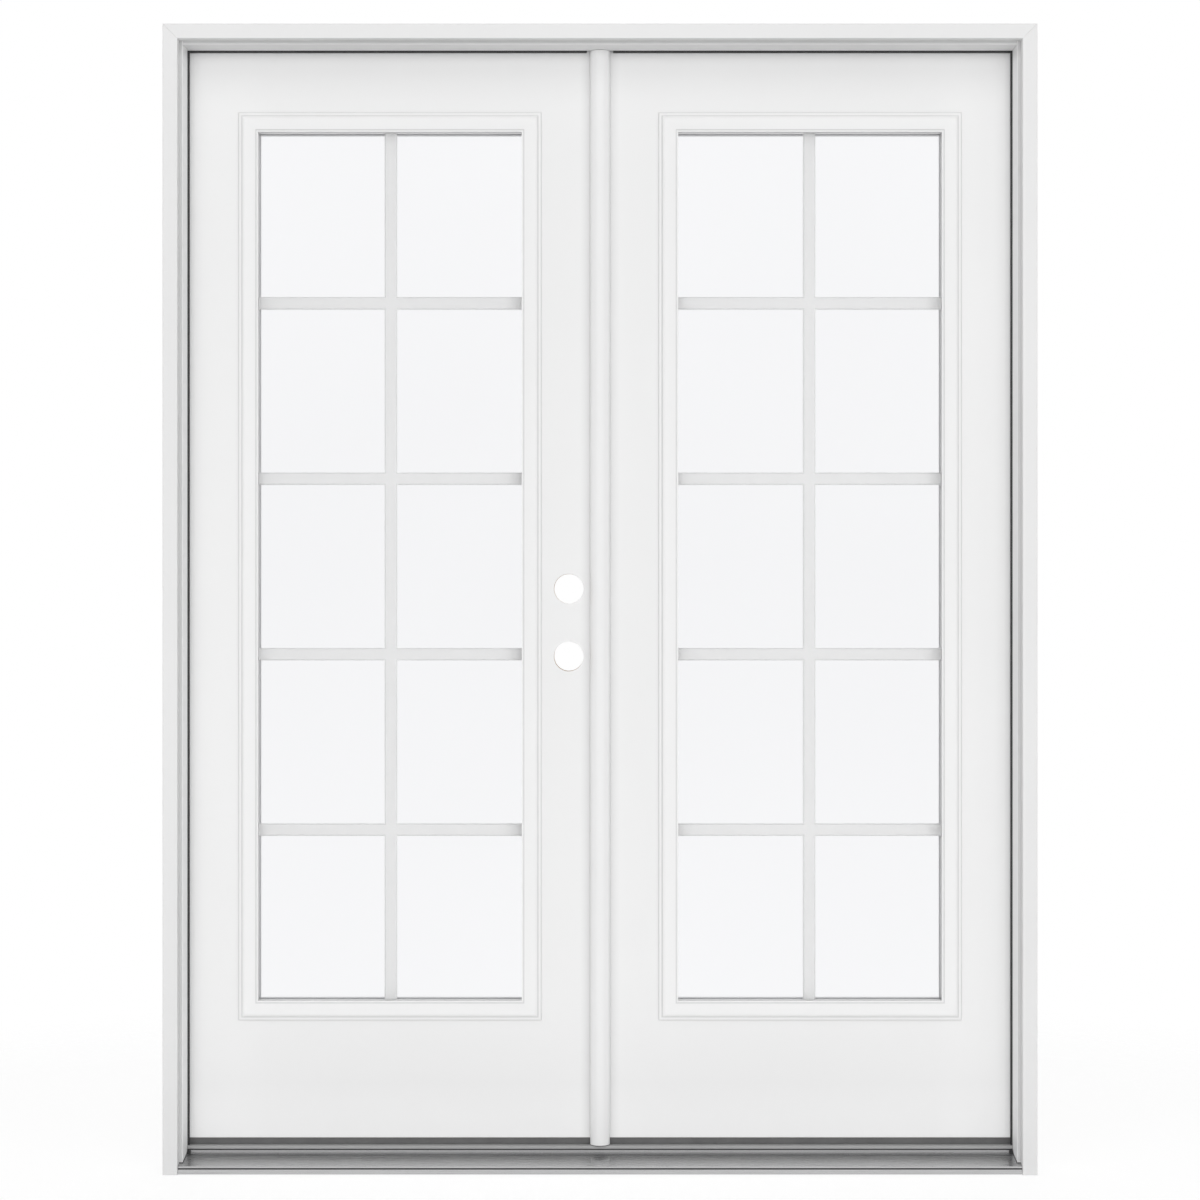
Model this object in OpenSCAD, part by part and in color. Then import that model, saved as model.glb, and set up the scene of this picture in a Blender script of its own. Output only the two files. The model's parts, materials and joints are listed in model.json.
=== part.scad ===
// French door unit: two glazed leaves that swing inwards in one frame with a metal sill.
// X runs across the opening, Y from the outside (-Y) to the inside (+Y), and Z is up.
// Depths are counted inwards from the front of the outside trim. Each piece is then
// shifted once, so that the unit stands centred on the origin with its foot at Z = 0.

/* [Frame] */
// Width over the two side jambs
frame_w = 1568; // [1400:1:1900]
// Height from the floor to the top of the head jamb
frame_h = 2064; // [1950:1:2300]
// Depth of the jambs, from their outside edge to their inside edge
jamb_depth = 116; // [112:1:170]
// Thickness of the jambs at their stops
jamb_t = 33; // [31:0.5:42]
// Height of the stop over the rabbet that a leaf closes into
rabbet = 12.7; // [11.5:0.1:14]
// Chamfer on the outer corners of the stops and the trim
edge_ease = 1; // [0.5:0.1:2]

/* [Outside trim] */
// Face width of the trim
trim_w = 26.7; // [18:0.1:29]
// Thickness of the trim
trim_t = 22; // [15:0.5:35]

/* [Sill] */
// Height of the top of the sill cap over the floor
sill_h = 38.5; // [37.5:0.5:48]
// Distance of the sill nose behind the front of the trim
nose_setback = 3; // [1:0.5:8]
// Room between the nose and the floor
nose_lift = 1; // [0.5:0.5:3]
// Height of the top of the nose face
nose_h = 9.8; // [7:0.1:11]
// Thickness of the solid nose
nose_t = 9; // [8:0.5:14]
// Height of the groove over the nose
groove_h = 2.6; // [1.5:0.1:3.2]
// Depth of the groove over the nose
groove_depth = 5; // [2:0.5:7]
// Height of the front edge of the deck
deck_front_h = 15.4; // [15:0.1:19]
// Height of the back edge of the deck
deck_back_h = 26.3; // [25:0.1:29]
// Wall of the deck
deck_t = 2; // [1.5:0.1:2.5]
// Distance from the front of the riser to the back of the stops
riser_inset = 6; // [5:0.5:20]
// Height of the top of the riser
riser_h = 31; // [30:0.1:32]
// Thickness of the riser and of the back wall
riser_t = 3; // [2:0.1:4]
// Height of the floor of the trough that holds the cap
trough_h = 24; // [20:0.1:26]
// Thickness of the top plate of the cap
cap_t = 5.5; // [4:0.1:6]
// Reach of the cap in front of the riser
cap_lip = 0.6; // [0.2:0.1:3]
// Room between the sill pieces and the jambs
sill_fit = 0.2; // [0.1:0.05:0.5]
// Joint between the foot of a stop and the deck
cope_gap = 0.5; // [0.2:0.1:0.9]
// Width of a corner pad
pad_w = 7; // [4:0.5:12]
// Length of a corner pad along the deck
pad_l = 10; // [6:0.5:20]

/* [Seals] */
// Room between the stops and the closed leaves, which the seals fill
seal_gap = 9.5; // [7.5:0.1:13]
// Width of a seal bulb
bulb_w = 12.3; // [9:0.1:14]
// Corner radius of a seal bulb
bulb_r = 3; // [1.5:0.1:3.5]
// Reach of a bulb past the face of the stop
seal_reveal = 3.3; // [1.5:0.1:4.5]
// Distance from the face of the stop to the middle of the kerf
kerf_inset = 6; // [4.5:0.1:7]
// Width of the saw kerf that holds a seal
kerf_w = 3; // [2.5:0.1:4]
// Depth of the saw kerf
kerf_depth = 8; // [5:0.5:12]
// Room between a seal and its kerf, and between a seal and a leaf
seal_fit = 0.3; // [0.2:0.05:0.6]
// Stop left bare of seal on each side of the astragal cover
break_room = 6; // [3:0.5:12]

/* [Leaves] */
// Thickness of a leaf
leaf_t = 44.45; // [40:0.05:52]
// Gap between a leaf and the rabbet on its hinge side
hinge_gap = 3; // [2:0.1:4]
// Gap between the leaves and the head rabbet
top_gap = 3; // [2:0.1:5]
// Gap between the sill cap and the leaves
bottom_gap = 12.5; // [9:0.1:14]
// Gap between the lock edges of the two leaves
centre_gap = 10.1; // [9.6:0.1:14]
// Thickness of the steel skins
skin_t = 0.8; // [0.5:0.05:1.2]
// Width of the stiles inside a leaf
stile_w = 22; // [20:0.5:24]
// Height of the top rail
top_rail_h = 28; // [20:0.5:60]
// Height of the bottom rail
bottom_rail_h = 40; // [25:0.5:100]
// Thickness of the base strip of a door sweep
sweep_base_t = 4; // [2.5:0.1:6]
// Thickness of the fins of a door sweep
fin_t = 3; // [2:0.1:4]
// Distance from the faces of a leaf to its sweep
sweep_inset = 1.5; // [0.5:0.1:5]

/* [Glazing] */
// Distance from the side edges of a leaf to the lite frame
lite_side = 101.8; // [95:0.1:160]
// Distance from the top of a leaf to the lite frame
lite_top = 121; // [60:0.5:400]
// Distance from the foot of a leaf to the lite frame
lite_bottom = 214; // [100:0.5:600]
// Face width of the lite frame
lite_face = 35.7; // [33:0.1:45]
// Height of the ridge of the lite frame over the skin
lite_proud = 10; // [9:0.1:14]
// Width of the low band along the outer edge of the lite frame
band_w = 6.4; // [4:0.1:8]
// Height of the low band
band_h = 4.2; // [3:0.1:5]
// Step from the low band up to the crowned face
band_step = 2.6; // [1.5:0.1:3]
// Distance from the outer edge to the ridge of the crowned face
ridge_in = 13; // [11:0.1:16]
// Width of the lip along the inner edge
lip_w = 3.7; // [2:0.1:6]
// Height of the lip over the skin
lip_h = 5.6; // [4:0.1:6]
// Step from the crowned face down to the lip
lip_step = 1.4; // [0.5:0.1:2]
// Thickness of each pane
glass_t = 3.2; // [3:0.1:5]
// Thickness of the sealed double glazing
unit_t = 25.4; // [22:0.1:30]
// Width of glass held behind the lite frame
glass_bite = 13.5; // [11:0.1:15]
// Room between the glass and the cut edge of the leaf
glass_room = 6.3; // [6:0.1:8]
// Room between the lite frame and the cut edge of the leaf
leg_fit = 0.5; // [0.3:0.1:0.8]
// Inset of the spacer from the edge of the glass
spacer_inset = 3; // [1:0.1:6]
// Width of the spacer between the panes
spacer_w = 9.5; // [5:0.1:10]
// Width of the grille bars
bar_w = 22.7; // [15:0.1:30]
// Thickness of the grille bars
bar_t = 9; // [6:0.1:12]
// Bevel along the grille bars
bar_bevel = 2.5; // [1:0.1:2.9]
// Number of cross bars in each leaf
bar_rows = 4; // [1:1:7]
// Shank diameter of the lite frame screws
lite_screw_dia = 3.2; // [2.5:0.1:3.6]
// Head diameter of the lite frame screws
lite_screw_head_dia = 6.4; // [5:0.1:7]
// Height of the screw heads over the inner skin
lite_screw_seat = 6.5; // [5.5:0.1:7.5]
// Length of screw held in the outer lite frame above the skin
lite_screw_grip = 3; // [1:0.1:4]
// Number of screws along each upright of the lite frame
lite_screw_rows = 5; // [2:1:9]

/* [Lock bores] */
// Diameter of the bores through the active leaf
lock_bore_dia = 54; // [50:0.1:56]
// Diameter of the latch bores in the lock edge
latch_bore_dia = 25.4; // [22:0.1:28]
// Distance from the lock edge to the bores
backset = 52; // [51:0.1:62]
// Height of the lower bore over the foot of the leaf
lower_bore_h = 877; // [700:1:1000]
// Distance between the two bores
bore_spacing = 123.5; // [100:0.5:145]
// Length of lock block above and below the bores
block_margin = 75; // [45:1:150]
// Foam left between the lock block and the cut edge of the leaf
block_foam = 6; // [2:0.5:12]

/* [Hinges] */
// Height of a hinge
hinge_h = 101.6; // [80:0.1:130]
// Width of a hinge plate
hinge_w = 30; // [26:0.5:36]
// Thickness of a hinge plate
plate_t = 2.3; // [2:0.1:2.8]
// Diameter of the hinge barrel
barrel_dia = 12; // [10.5:0.1:14]
// Room between the barrel and the inside edge of the frame
barrel_gap = 0.5; // [0.4:0.1:2]
// Diameter of the hinge pins
hinge_pin_dia = 6.35; // [5:0.05:7]
// Height of the button on a hinge pin
pin_head_h = 2.5; // [1.5:0.1:5]
// Room around a pin in its knuckles
pin_fit = 0.07; // [0.03:0.01:0.1]
// Room between neighbouring knuckles
knuckle_gap = 0.35; // [0.3:0.05:0.6]
// Room around a hinge plate in its mortise
mortise_fit = 0.2; // [0.1:0.05:0.5]
// Distance from the top of a leaf to its top hinge
hinge_top = 178; // [100:1:300]
// Distance from the foot of a leaf to its bottom hinge
hinge_bottom = 254; // [150:1:350]
// Shank diameter of the hinge screws
screw_dia = 4; // [3:0.1:4.4]
// Head diameter of the hinge screws
screw_head_dia = 8.2; // [6:0.1:9]
// Length of the hinge screws
screw_l = 16; // [12:0.5:17]
// Length of the point of every screw
screw_point = 3; // [1:0.1:5]
// Room around every screw in its hole
screw_fit = 0.05; // [0.02:0.01:0.1]
// Distance from the edges of a hinge plate to its screws
screw_edge = 8; // [6:0.1:10]
// Distance from the ends of a hinge plate to its outer screws
screw_end = 13; // [8:0.1:18]

/* [Astragal] */
// Width of the half-round cover
cover_w = 35.7; // [33:0.1:42]
// Straight sides of the cover under its round face
cover_side = 3; // [1:0.1:8]
// Reach of the web past the middle, towards the active leaf
web_reach = 0.5; // [0.2:0.1:1.2]
// Width of the flange on the face of the passive leaf
flange_w = 10; // [6:0.1:11]
// Thickness of the flange
flange_t = 1.2; // [1:0.1:2]
// Gap between the cover and the head stop
cover_top_gap = 0.6; // [0.4:0.1:3]
// Gap between the cover and the sill cap
cover_foot_gap = 1; // [0.5:0.1:4]
// Width of the seal behind the cover
back_seal_w = 8; // [5:0.1:10]
// Distance from the side of the cover to that seal
back_seal_inset = 2; // [1:0.1:4]
// Height of a latch strike
strike_h = 57; // [45:0.5:70]
// Width of a latch strike
strike_w = 25; // [20:0.5:30]
// Thickness of every strike plate
strike_t = 1.6; // [1:0.1:2]
// Height of the mouth of a latch strike
mouth_h = 29; // [24:0.5:36]
// Width of the mouth of a latch strike
mouth_w = 15; // [10:0.5:17]
// Depth of the latch pocket in the stile
pocket_depth = 10; // [6:0.5:15]
// Room around a strike plate in its recess
strike_fit = 0.1; // [0.05:0.05:0.3]

/* [Flush bolts] */
// Diameter of the bolt rods
bolt_dia = 8; // [6.5:0.1:9]
// Length of the bolt rods
bolt_l = 180; // [120:1:240]
// Distance from the lock edge to the rods
bolt_inset = 9; // [8:0.1:11]
// Room around a rod in its bore
bolt_fit = 0.08; // [0.04:0.01:0.1]
// Distance of a drawn bolt from the end of the leaf
bolt_tip_gap = 1; // [0.5:0.1:3]
// Chamfer on the tip of a bolt
bolt_ease = 1; // [0.5:0.1:2]
// Travel of the top bolt
top_throw = 14; // [10:0.5:15]
// Travel of the bottom bolt
bottom_throw = 20; // [17:0.5:21]
// Room around a thrown bolt in its strike
strike_room = 1.5; // [1:0.1:3]
// Depth of a strike's hole past the tip of the thrown bolt
strike_depth_room = 2; // [1:0.1:4]
// Length of a bolt strike
bolt_strike_l = 44; // [34:0.5:60]
// Width of a bolt strike
bolt_strike_w = 22; // [18:0.5:30]
// Width of a thumb slide
slide_w = 10; // [7:0.5:14]
// Height of a thumb slide
slide_h = 18; // [12:0.5:26]
// Reach of a thumb slide past the web
slide_proud = 1.4; // [0.9:0.1:1.6]
// Room between a thumb slide and the web
slide_gap = 0.4; // [0.3:0.05:0.5]
// Width of the stem that joins a thumb slide to its rod
stem_w = 4; // [3:0.1:5]
// Height of that stem
stem_h = 8; // [5:0.5:11]
// Room around a stem in its slot
slot_fit = 0.4; // [0.3:0.05:0.8]

/* [Hidden] */
$fn = 64;
// Overrun of a cutting shape past the face that it opens
cut = 1;
// Knuckles of one hinge, and those held by the jamb and by the leaf
knuckles = 5;
jamb_knuckles = [0, 2, 4];
leaf_knuckles = [1, 3];
hinge_screws = 4;
// Points along the crowned face of the lite frame
crown_steps = 8;
sweep_fins = 3;

// Depths, counted from the front of the trim
jamb_front = trim_t;
jamb_back = jamb_front + jamb_depth;
leaf_back = jamb_back;
leaf_front = leaf_back - leaf_t;
leaf_mid_depth = leaf_front + leaf_t / 2;
stop_back = leaf_front - seal_gap;
riser_front = stop_back - riser_inset;
riser_back = riser_front + riser_t;
cap_front = riser_front - cap_lip;
rear_wall_front = jamb_back - riser_t;
barrel_r = barrel_dia / 2;
pin_depth = jamb_back + barrel_gap + barrel_r;
unit_depth = max(pin_depth + barrel_r, leaf_back + lite_proud);
front_y = -unit_depth / 2;

// Places across the opening, as distances from the middle
stop_x = frame_w / 2 - jamb_t;
rabbet_x = stop_x + rabbet;
leaf_edge_x = rabbet_x - hinge_gap;
lock_edge_x = centre_gap / 2;
leaf_w = leaf_edge_x - lock_edge_x;
leaf_mid_x = -lock_edge_x - leaf_w / 2;
pin_x = -leaf_edge_x - hinge_gap / 2;
lock_x = -lock_edge_x - backset;
sill_x = rabbet_x - sill_fit;
nose_x = frame_w / 2 - trim_w - sill_fit;
bolt_x = lock_edge_x + bolt_inset;

// Heights over the floor
stop_z = frame_h - jamb_t;
rabbet_z = stop_z + rabbet;
leaf_top = rabbet_z - top_gap;
leaf_bottom = sill_h + bottom_gap;
leaf_h = leaf_top - leaf_bottom;
cap_under = sill_h - cap_t;
lower_bore_z = leaf_bottom + lower_bore_h;
upper_bore_z = lower_bore_z + bore_spacing;
bore_heights = [lower_bore_z, upper_bore_z];
bottom_hinge_z = leaf_bottom + hinge_bottom;
top_hinge_z = leaf_top - hinge_top - hinge_h;
hinge_heights = [bottom_hinge_z, (bottom_hinge_z + top_hinge_z) / 2, top_hinge_z];

// Glazing
lite_w = leaf_w - 2 * lite_side;
lite_h = leaf_h - lite_top - lite_bottom;
lite_mid_z = leaf_bottom + lite_bottom + lite_h / 2;
day_w = lite_w - 2 * lite_face;
day_h = lite_h - 2 * lite_face;
glass_w = day_w + 2 * glass_bite;
glass_h = day_h + 2 * glass_bite;
cutout_w = glass_w + 2 * glass_room;
cutout_h = glass_h + 2 * glass_room;
glass_recess = (leaf_t - unit_t) / 2;
air_t = unit_t - 2 * glass_t;
leg_in = lite_face - glass_bite - glass_room + leg_fit;
lite_screw_in = lite_face - glass_bite - glass_room / 2;
lite_screw_l = leaf_t + lite_screw_seat + lite_screw_grip;
lite_screw_x = lite_w / 2 - lite_screw_in;
lite_screw_z = lite_h / 2 - lite_screw_in;
lite_screw_pitch = (lite_h - 4 * lite_screw_in) / (lite_screw_rows - 1);
core_t = leaf_t - 2 * skin_t;

// Hinges
knuckle_h = (hinge_h - (knuckles - 1) * knuckle_gap) / knuckles;
knuckle_pitch = knuckle_h + knuckle_gap;
screw_pitch = (hinge_h - 2 * screw_end) / (hinge_screws - 1);

// Astragal and flush bolts
cover_back = leaf_front - flange_t;
cover_foot = sill_h + cover_foot_gap;
cover_top = stop_z - cover_top_gap;
seal_break = cover_w / 2 + break_room;
rod_z = leaf_top - bolt_tip_gap - bolt_l;
stem_z = rod_z + slide_h;
top_reach = top_throw - top_gap - bolt_tip_gap;
bottom_reach = bottom_throw - bottom_gap - bolt_tip_gap;

// Height of the sloping deck at a depth
function deck_z(depth) =
  deck_front_h + (deck_back_h - deck_front_h) * (depth - nose_setback) / (riser_front - nose_setback);

// Shift from depths behind the trim to the unit's own frame
module placed() translate([0, front_y, 0]) children();

// The same piece on the other side of the middle
module mirrored() mirror([1, 0, 0]) children();

module both_sides() {
  children();
  mirrored() children();
}

// Slab between two depths, from an outline in (x, z)
module upright(depth, t) translate([0, depth + t, 0]) rotate([90, 0, 0]) linear_extrude(t) children();

// Post between two heights, from an outline in (x, depth)
module standing(z0, z1) translate([0, 0, z0]) linear_extrude(z1 - z0) children();

// Rail between two places across, from an outline in (depth, z)
module running(x0, x1) translate([x0, 0, 0]) rotate([90, 0, 90]) linear_extrude(x1 - x0) children();

module box_between(low, high) translate(low) cube(high - low);

module rect_between(low, high) translate(low) square(high - low);

module rounded_rect(w, h, r) {
  translate([r, 0]) square([w - 2 * r, h]);
  translate([0, r]) square([w, h - 2 * r]);
  for (x = [r, w - r], y = [r, h - r]) translate([x, y]) circle(r);
}

// Flat-head screw that points down from the origin, or its hole where fit is set
module flat_screw(dia, head_dia, head_h, length, fit = 0) {
  r = dia / 2 + fit;
  head_r = head_dia / 2 + fit;
  top = fit > 0 ? cut : 0;
  end = length + fit;
  rotate_extrude() polygon([
    [0, top], [head_r, top], [head_r, 0], [r, -head_h], [r, -end + screw_point], [0, -end]
  ]);
}

// Frame

// Saw kerf in the back of a side stop
module side_kerf() box_between(
  [-stop_x - kerf_inset - kerf_w / 2, stop_back - kerf_depth, -cut],
  [-stop_x - kerf_inset + kerf_w / 2, stop_back + cut, rabbet_z]);

// What the sill takes out of the foot of a side stop
module sill_cope() running(-rabbet_x, -stop_x + cut) polygon([
  [jamb_front - cut, -cut],
  [jamb_front - cut, deck_z(jamb_front - cut) + cope_gap],
  [riser_front - cope_gap, deck_z(riser_front) + cope_gap],
  [riser_front - cope_gap, riser_h + cope_gap],
  [stop_back + cut, riser_h + cope_gap],
  [stop_back + cut, -cut]
]);

module jamb_mortises() for (z = hinge_heights) box_between(
  [-rabbet_x - plate_t, leaf_back - hinge_w - mortise_fit, z - mortise_fit],
  [-rabbet_x + cut, jamb_back + cut, z + hinge_h + mortise_fit]);

module side_jamb() placed() difference() {
  standing(0, frame_h) polygon([
    [-frame_w / 2, jamb_front],
    [-stop_x - edge_ease, jamb_front],
    [-stop_x, jamb_front + edge_ease],
    [-stop_x, stop_back],
    [-rabbet_x, stop_back],
    [-rabbet_x, jamb_back],
    [-frame_w / 2, jamb_back]
  ]);
  box_between([-rabbet_x, jamb_front - cut, rabbet_z], [-stop_x + cut, stop_back + cut, frame_h + cut]);
  sill_cope();
  side_kerf();
  jamb_mortises();
  jamb_screws(screw_fit);
}

module left_jamb() color("whitesmoke") side_jamb();

module right_jamb() color("whitesmoke") mirrored() side_jamb();

// Hole in the head or the sill that takes a thrown bolt
module bolt_hole(z, depth) translate([bolt_x, leaf_mid_depth, z])
  cylinder(d = bolt_dia + 2 * strike_room, h = depth);

// Plate of a bolt strike between two heights, or its recess where fit is set
module bolt_strike_box(z0, z1, fit = 0) box_between(
  [bolt_x - bolt_strike_w / 2 - fit, leaf_mid_depth - bolt_strike_l / 2 - fit, z0],
  [bolt_x + bolt_strike_w / 2 + fit, leaf_mid_depth + bolt_strike_l / 2 + fit, z1]);

module head_jamb() color("whitesmoke") placed() difference() {
  union() {
    running(-rabbet_x, rabbet_x) rect_between([jamb_front, rabbet_z], [jamb_back, frame_h]);
    running(-stop_x, stop_x) polygon([
      [jamb_front, rabbet_z + cut],
      [jamb_front, stop_z + edge_ease],
      [jamb_front + edge_ease, stop_z],
      [stop_back, stop_z],
      [stop_back, rabbet_z + cut]
    ]);
  }
  box_between(
    [-stop_x - cut, stop_back - kerf_depth, stop_z + kerf_inset - kerf_w / 2],
    [stop_x + cut, stop_back + cut, stop_z + kerf_inset + kerf_w / 2]);
  bolt_strike_box(rabbet_z - cut, rabbet_z + strike_t, strike_fit);
  bolt_hole(rabbet_z - cut, top_reach + strike_depth_room + cut);
}

module trim_outline() polygon([
  [0, trim_t], [0, edge_ease], [edge_ease, 0], [trim_w - edge_ease, 0], [trim_w, edge_ease], [trim_w, trim_t]
]);

// Length of trim along X, mitred at its far end, and at its near end too where start_mitre is set
module trim_bar(length, start_mitre) intersection() {
  running(0, length) trim_outline();
  translate([0, 0, -cut]) linear_extrude(trim_t + 2 * cut) polygon([
    [-cut, -cut],
    [length + cut, -cut],
    [length - trim_w - cut, trim_w + cut],
    [start_mitre ? trim_w + cut : -cut, trim_w + cut]
  ]);
}

module trim_leg() placed() translate([-frame_w / 2, 0, 0]) rotate([0, -90, -90]) trim_bar(frame_h, false);

module left_trim() color("white") trim_leg();

module right_trim() color("white") mirrored() trim_leg();

module head_trim() color("white") placed()
  translate([-frame_w / 2, 0, frame_h]) rotate([-90, 0, 0]) trim_bar(frame_w, true);

// Sill

// Corners that the trim legs take out of the front of the sill
module sill_corners() both_sides() box_between(
  [-rabbet_x, -cut, -cut], [-nose_x, jamb_front + sill_fit, sill_h]);

module sill_base() color("tan") placed() difference() {
  running(-sill_x, sill_x) polygon([
    [nose_setback + nose_t, 0],
    [nose_setback + nose_t, deck_z(nose_setback + nose_t) - deck_t],
    [riser_front, deck_z(riser_front) - deck_t],
    [riser_front, trough_h - deck_t],
    [jamb_back, trough_h - deck_t],
    [jamb_back, 0]
  ]);
  sill_corners();
}

module sill_deck() color("silver") placed() difference() {
  running(-sill_x, sill_x) polygon([
    [nose_setback, nose_lift],
    [nose_setback, nose_h],
    [nose_setback + groove_depth, nose_h],
    [nose_setback + groove_depth, nose_h + groove_h],
    [nose_setback, nose_h + groove_h],
    [nose_setback, deck_front_h],
    [riser_front, deck_back_h],
    [riser_front, riser_h],
    [riser_back, riser_h],
    [riser_back, trough_h],
    [rear_wall_front, trough_h],
    [rear_wall_front, riser_h],
    [jamb_back, riser_h],
    [jamb_back, trough_h - deck_t],
    [riser_front, trough_h - deck_t],
    [riser_front, deck_back_h - deck_t],
    [nose_setback + nose_t, deck_z(nose_setback + nose_t) - deck_t],
    [nose_setback + nose_t, nose_lift]
  ]);
  sill_corners();
}

// Ends of the cap that the side stops take out
module cap_notches() both_sides() box_between(
  [-rabbet_x, cap_front - cut, 0], [-stop_x + sill_fit, stop_back + sill_fit, sill_h + cut]);

module sill_cap() color("gray") placed() difference() {
  running(-sill_x, sill_x) union() {
    rect_between([cap_front, cap_under], [jamb_back, sill_h]);
    rect_between([riser_back + cap_lip, trough_h], [rear_wall_front - cap_lip, sill_h - cap_t / 2]);
  }
  cap_notches();
  bolt_strike_box(sill_h - strike_t, sill_h + cut, strike_fit);
  bolt_hole(sill_h - bottom_reach - strike_depth_room, bottom_reach + strike_depth_room + cut);
}

module corner_pads() color("dimgray") placed() both_sides() running(-stop_x, -stop_x + pad_w) polygon([
  [riser_front - pad_l, deck_z(riser_front - pad_l)],
  [riser_front, deck_back_h],
  [riser_front, riser_h]
]);

module bolt_strikes() color("silver") placed() difference() {
  union() {
    bolt_strike_box(rabbet_z, rabbet_z + strike_t);
    bolt_strike_box(sill_h - strike_t, sill_h);
  }
  bolt_hole(rabbet_z - cut, strike_t + 2 * cut);
  bolt_hole(sill_h - strike_t - cut, strike_t + 2 * cut);
}

// Seals

// Bulb and barb of a stop seal: x runs from the bulb's tip into the stop, y is the depth
module stop_seal_outline() {
  translate([0, stop_back]) rounded_rect(bulb_w, seal_gap - seal_fit, bulb_r);
  translate([seal_reveal + kerf_inset - kerf_w / 2 + seal_fit, stop_back - kerf_depth + seal_fit])
    square([kerf_w - 2 * seal_fit, kerf_depth + bulb_r]);
}

module side_seal() placed() translate([-stop_x + seal_reveal, 0, 0]) mirror([1, 0, 0])
  standing(sill_h + seal_fit, rabbet_z - seal_fit) stop_seal_outline();

module left_jamb_seal() color("dimgray") side_seal();

module right_jamb_seal() color("dimgray") mirrored() side_seal();

// Two lengths, which leave the top of the astragal free
module head_seal() color("dimgray") placed() both_sides()
  translate([-seal_break, 0, stop_z - seal_reveal]) rotate([0, -90, 0])
  linear_extrude(stop_x - seal_reveal - seal_fit - seal_break) stop_seal_outline();

// Hinges, drawn for the left side

// Screws of one hinge plate, as places in (depth, height)
function plate_screws() = [
  for (i = [0 : hinge_screws - 1])
    [i % 2 == 0 ? leaf_back - screw_edge : leaf_back - hinge_w + screw_edge, screw_end + i * screw_pitch]
];

// Screws, or their holes, from a plate's face: side is -1 into the jamb and 1 into the leaf
module hinge_screw_set(face_x, side, fit) for (z = hinge_heights, place = plate_screws())
  translate([face_x, place.x, z + place.y]) rotate([0, -side * 90, 0])
  flat_screw(screw_dia, screw_head_dia, plate_t, screw_l, fit);

module jamb_screws(fit = 0) hinge_screw_set(-rabbet_x, -1, fit);

module leaf_screws(fit = 0) hinge_screw_set(-leaf_edge_x, 1, fit);

module hinge_plate(plate_x, held) {
  box_between([plate_x, leaf_back - hinge_w, 0], [plate_x + plate_t, leaf_back, hinge_h]);
  for (k = held) translate([0, 0, k * knuckle_pitch]) {
    box_between([plate_x, leaf_back - plate_t, 0], [plate_x + plate_t, pin_depth, knuckle_h]);
    translate([pin_x, pin_depth, 0]) cylinder(d = barrel_dia, h = knuckle_h);
  }
}

module pin_bore() translate([pin_x, pin_depth, -cut])
  cylinder(d = hinge_pin_dia + 2 * pin_fit, h = hinge_h + 2 * cut);

module jamb_plates() placed() difference() {
  for (z = hinge_heights) translate([0, 0, z]) difference() {
    hinge_plate(-rabbet_x - plate_t, jamb_knuckles);
    pin_bore();
  }
  jamb_screws(screw_fit);
}

module leaf_plates() placed() difference() {
  for (z = hinge_heights) translate([0, 0, z]) difference() {
    hinge_plate(-leaf_edge_x, leaf_knuckles);
    pin_bore();
  }
  leaf_screws(screw_fit);
}

module jamb_hinge_leaves() color("silver") both_sides() jamb_plates();

module jamb_hinge_screws() color("silver") both_sides() placed() jamb_screws();

module hinge_pins() color("gainsboro") both_sides() placed() for (z = hinge_heights)
  translate([pin_x, pin_depth, z]) rotate_extrude() polygon([
    [0, 0],
    [hinge_pin_dia / 2, 0],
    [hinge_pin_dia / 2, hinge_h],
    [barrel_r - edge_ease / 2, hinge_h],
    [barrel_r - edge_ease / 2, hinge_h + pin_head_h - edge_ease],
    [barrel_r - edge_ease * 3 / 2, hinge_h + pin_head_h],
    [0, hinge_h + pin_head_h]
  ]);

// Leaf, drawn for the left side

module leaf_mortises() for (z = hinge_heights) box_between(
  [-leaf_edge_x - cut, leaf_back - hinge_w - mortise_fit, z - mortise_fit],
  [-leaf_edge_x + plate_t, leaf_back + cut, z + hinge_h + mortise_fit]);

module leaf_outline() rect_between([-leaf_edge_x, leaf_bottom], [-lock_edge_x, leaf_top]);

// A rectangle centred on the lite
module lite_rect(w, h) translate([leaf_mid_x, lite_mid_z]) square([w, h], center = true);

module lock_bores() for (z = bore_heights) translate([lock_x, z]) circle(d = lock_bore_dia);

module latch_bores() for (z = bore_heights) translate([lock_x, leaf_mid_depth, z]) rotate([0, 90, 0])
  cylinder(d = latch_bore_dia, h = backset + cut);

module lock_block_outline() rect_between(
  [leaf_mid_x + cutout_w / 2 + block_foam, lower_bore_z - block_margin],
  [-lock_edge_x - stile_w, upper_bore_z + block_margin]);

module skin(depth, bored) upright(depth, skin_t) difference() {
  leaf_outline();
  lite_rect(cutout_w, cutout_h);
  if (bored) lock_bores();
}

module outer_skin(bored) placed() skin(leaf_front, bored);

module inner_skin(bored) placed() difference() {
  skin(leaf_back - skin_t, bored);
  leaf_mortises();
}

// Solid of the leaf's core thickness, from an outline in (x, z)
module core_slab() upright(leaf_front + skin_t, core_t) children();

module hinge_stile() placed() difference() {
  core_slab() rect_between([-leaf_edge_x, leaf_bottom], [-leaf_edge_x + stile_w, leaf_top]);
  leaf_mortises();
  leaf_screws(screw_fit);
}

module lock_stile_blank() core_slab()
  rect_between([-lock_edge_x - stile_w, leaf_bottom], [-lock_edge_x, leaf_top]);

module leaf_rail(z0, z1) placed() core_slab()
  rect_between([-leaf_edge_x + stile_w, z0], [-lock_edge_x - stile_w, z1]);

module top_rail() leaf_rail(leaf_top - top_rail_h, leaf_top);

module bottom_rail() leaf_rail(leaf_bottom, leaf_bottom + bottom_rail_h);

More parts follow.
